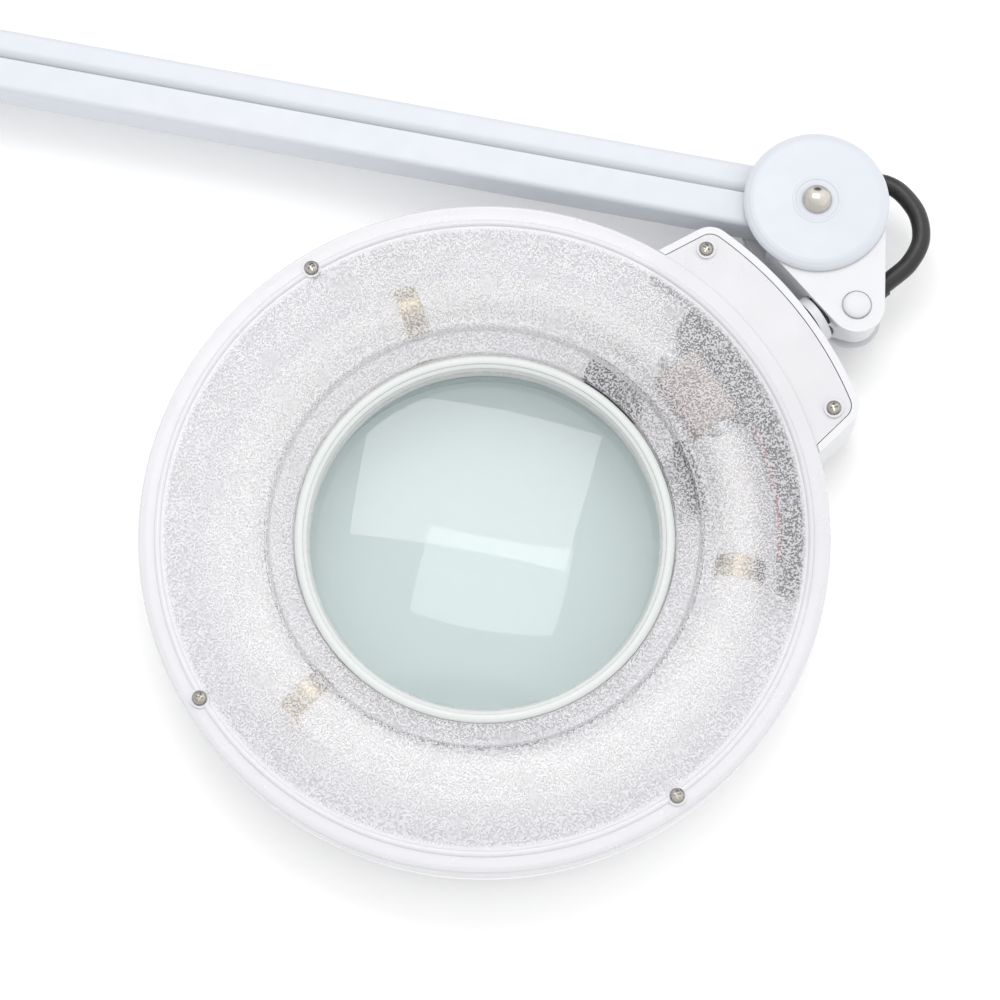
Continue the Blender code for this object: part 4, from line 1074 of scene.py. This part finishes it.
def tube_clips():
    middle = Vector((TUBE_RING, TUBE_Z))
    low, high = radians(-80.0), radians(200.0)
    outer = arc(middle, TUBE_RADIUS + 0.0011, low, high, 40)
    inner = arc(middle, TUBE_RADIUS + GAP, high, radians(-98.0), 40)
    foot = [Vector((middle.x - 0.0015, 0.0055)), Vector((middle.x + 0.0025, 0.0055))]
    for i, angle in enumerate(CLIP_ANGLES, 1):
        mesh = moved(plate(outer + inner + foot, -0.004, 0.004), at(TUBE_CENTRE, angle) @ STAND)
        piece(f"spring_clip_{i}", mesh, "head", "clip_brass", [f"tube_clip_{i}"], bevel=0.00025)


def arc_strip(origin, inner, outer, start, end, low, high, steps=40):
    outline = arc(origin, outer, start, end, steps) + arc(origin, inner, end, start, steps)
    return plate(outline, low, high)


def electrics():
    start, end = (radians(angle) for angle in BALLAST_ANGLES)
    mesh = arc_strip(HEAD, *BALLAST_RADII, start, end, *BALLAST_HEIGHTS)
    piece("curved_ballast", mesh, "head", "ballast_case", ["ballast"], bevel=0.0008)
    for label, radii, angles, high in SOCKET_BRACKETS:
        start, end = (radians(angle) for angle in angles)
        wall = arc_strip(HEAD, *radii, start, end, BRACKET_FOOT, high, 12)
        piece(f"socket_bracket_{label}", wall, "head", "ballast_case", bevel=0.0003)
    red = [(*polar(HEAD, 0.1010 + 0.0006 * sin(3.0 * a), a), 0.0265 + 0.0012 * sin(5.0 * a))
           for a in (radians(6.0 + 1.5 * i) for i in range(20))]
    piece("ballast_wire", sweep(smooth_route(red, 0.0012), 0.0008, 10), "head", "red_wire", sharp=80.0)


def switch():
    place = at(SWITCH, EAR_ANGLE + pi / 2)
    under = EAR_FLOOR - GAP
    body = box(-0.0090, 0.0090, -0.0064, 0.0064, under - 0.0012, 0.0265)
    body = united(body, box(-0.0102, 0.0102, -0.0076, 0.0076, under - 0.0016, under))
    body = cut(body, box(-0.0076, 0.0076, -0.0050, 0.0050, 0.0, 0.0150))
    piece("switch_case", moved(body, place), "head", "black_plastic", ["switch_body"], bevel=0.0003)
    crest = [(-0.0070, 0.0132), (-0.0066, 0.0068), (-0.0033, 0.0077), (0.0, 0.0084), (0.0034, 0.0089),
             (0.0068, 0.0092), (0.0070, 0.0132)]
    piece("switch_key", moved(plate(crest, -0.0046, 0.0046), place @ STAND), "switch_rocker",
          "black_plastic", ["switch_rocker"], bevel=0.0004)


def head_stem():
    eye = hull(polar(HEAD, 0.1450, STEM_ANGLE), 0.0055, TILT, 0.0085)
    mesh = plate(eye, MID - 0.0057, MID + 0.0057)
    mesh = united(mesh, stem_rod(STEM_SPAN, STEM_RADIUS))
    mesh = united(mesh, stem_rod(COLLAR_SPAN, COLLAR_RADIUS, 96))
    mesh = cut(mesh, through(TILT_RADIUS, TILT))
    piece("swivel_stem", mesh, "head_stem", "white_paint", ["head_stem"], bevel=0.0005)
    bore = STEM_RADIUS + BORE
    # Painted shade: the washer is black so that it draws the dark gap on one side of the collar.
    washer = stem_ring(WASHER_SPAN, COLLAR_RADIUS, bore, 64)
    piece("black_washer_painted_shade", washer, "head_stem", "black_rubber", ["swivel_washer"], bevel=0.0002)
    # Painted shade: a thin black ring after the collar draws the dark gap on its other side.
    shadow_ring = stem_ring(SHADOW_RING_SPAN, *SHADOW_RING_RADII, 64, 48)
    piece("stem_shadow_ring", shadow_ring, "head_stem", "black_rubber", bevel=0.0002)
    nut = stem_ring(NUT_SPAN, NUT_RADIUS, bore, 6)
    piece("hex_nut", nut, "head_stem", "zinc_steel", ["stem_nut"], bevel=0.0005)

    top = HIGH + GAP
    low = LOW - GAP
    profile = [(0.0, low - 0.0014), (0.0034, low - 0.0013), (0.0044, low - 0.0009), (0.0048, low - 0.0003),
               (0.0048, low), (TILT_RADIUS, low), (TILT_RADIUS, top), (0.0048, top), (0.0048, top + 0.0003),
               (0.0044, top + 0.0009), (0.0034, top + 0.0013), (0.0, top + 0.0014)]
    mesh = moved(turned(profile, 64), at(TILT))
    piece("tilt_rivet", mesh, "head_bracket", "white_paint", ["tilt_pin"])


# ======== lead to the head

def lead_clip(node, end, inward):
    """A moulded sleeve round one end of the lead, on a foot that stands on the knuckle's lower cheek."""
    along = (inward - end).normalized()
    far = end + CLIP_LENGTH * along
    floor = LOW + SHEET + GAP
    foot = box(GAP, CLIP_LENGTH - GAP, -CLIP_FOOT, CLIP_FOOT, floor, MID - 0.9 * LEAD_RADIUS)
    mesh = united(rod(end, far, CLIP_RADIUS), moved(foot, at(end, atan2(along.y, along.x))))
    mesh = cut(mesh, rod(end - CLIP_LENGTH * along, far + CLIP_LENGTH * along, LEAD_RADIUS + GAP))
    piece(f"{node}_sleeve", mesh, "head_bracket", "black_rubber", [node], bevel=0.0002)


def head_lead():
    """The lead's open loop from the wrist to the head, held at both ends."""
    route = [(WRIST.x + x, WRIST.y + y, MID) for x, y in HEAD_LEAD_ROUTE]
    path = smooth_route(route, 0.0016)
    mesh = sweep(path, LEAD_RADIUS, 24)
    lead = piece("lead_to_head", mesh, "head_bracket", "black_rubber", ["head_lead"], sharp=60.0)
    lead_clip("lead_clip_arm", path[0], path[1])
    lead_clip("lead_clip_head", path[-1], path[-2])


# ======== studio

def camera():
    data = bpy.data.cameras.new("camera")
    data.sensor_width = 36.0
    data.lens = VIEW_LENS
    obj = bpy.data.objects.new("camera", data)
    bpy.context.scene.collection.objects.link(obj)
    obj.rotation_euler = Euler((VIEW_TILT, 0.0, VIEW_TURN))
    target = Vector((WRIST.x + VIEW_TARGET[0], WRIST.y + VIEW_TARGET[1], VIEW_TARGET[2]))
    obj.location = target + obj.rotation_euler.to_matrix() @ Vector((0.0, 0.0, VIEW_DISTANCE))
    bpy.context.scene.camera = obj


def window():
    """A softbox aimed at the lens and turned about its own axis."""
    light = bpy.data.lights.new("window", "AREA")
    light.shape = "RECTANGLE"
    light.size, light.size_y = WINDOW_SIZE
    light.energy = WINDOW_POWER
    obj = bpy.data.objects.new("window", light)
    obj.location = centre("lens") + WINDOW_PLACE
    aim = (-WINDOW_PLACE).to_track_quat("-Z", "Y").to_matrix()
    obj.rotation_euler = (aim @ Matrix.Rotation(WINDOW_TURN, 3, "Z")).to_euler()
    bpy.context.scene.collection.objects.link(obj)


def sky_lobe(tree, way, cosines):
    """How far the sky in a direction lies towards a way: 0 before the first cosine and 1 after the second."""
    place = tree.nodes.new("ShaderNodeTexCoord")
    dot = tree.nodes.new("ShaderNodeVectorMath")
    dot.operation = "DOT_PRODUCT"
    dot.inputs[1].default_value = Vector(way).normalized()
    tree.links.new(place.outputs["Generated"], dot.inputs[0])
    return remap(tree, dot.outputs["Value"], cosines, smooth=True)


def sky(world):
    """A white sky that is brighter on one side, with a soft dark patch low down on the same side."""
    tree = world.node_tree
    gain = arithmetic(tree, "MULTIPLY_ADD", sky_lobe(tree, SKY_SIDE, SKY_COSINES), SKY_GAIN, SKY)
    keep = arithmetic(tree, "MULTIPLY_ADD", sky_lobe(tree, DARK_SIDE, DARK_COSINES), -DARK_SHARE, 1.0)
    total = arithmetic(tree, "MULTIPLY", gain, keep)
    tree.links.new(total, tree.nodes["Background"].inputs["Strength"])


def studio():
    world = bpy.data.worlds.new("studio")
    world.use_nodes = True
    world.node_tree.nodes["Background"].inputs["Color"].default_value = (1.0, 1.0, 1.0, 1.0)
    sky(world)
    bpy.context.scene.world = world
    window()
    mesh = bmesh.new()
    bmesh.ops.create_grid(mesh, x_segments=2, y_segments=2, size=FLOOR_HALF)
    floor = add_object("floor", mesh)
    paint = new_material("floor", FLOOR_COLOUR, 0.8)
    floor.data.materials.append(glowing(paint, (1.0, 1.0, 1.0), FLOOR_GLOW))
    bpy.context.scene.view_settings.view_transform = "Standard"


# ======== the whole lamp

def build():
    camera()
    head_lead()
    for prefix, body in (("wrist", "head_bracket"), ("elbow_upper", "elbow_bracket"),
                         ("elbow_lower", "elbow_bracket"), ("base", "base_bracket")):
        joint_hardware(prefix, body)
    upper_pins = pin_places("elbow_upper")
    lower_pins = pin_places("elbow_lower")
    arm_section("upper", upper_pins, heading(ELBOW, WRIST), -1.0)
    arm_section("lower", lower_pins, LOWER_ANGLE, 1.0)
    lead_grommet(at(lower_pins[0], LOWER_ANGLE))
    head_bracket()
    elbow_bracket()
    base_bracket()
    clamp()
    head_stem()
    head_housing()
    diffuser()
    cover_screws()
    lens_and_ring()
    lighting()
    tube_clips()
    electrics()
    switch()
    studio()


build()
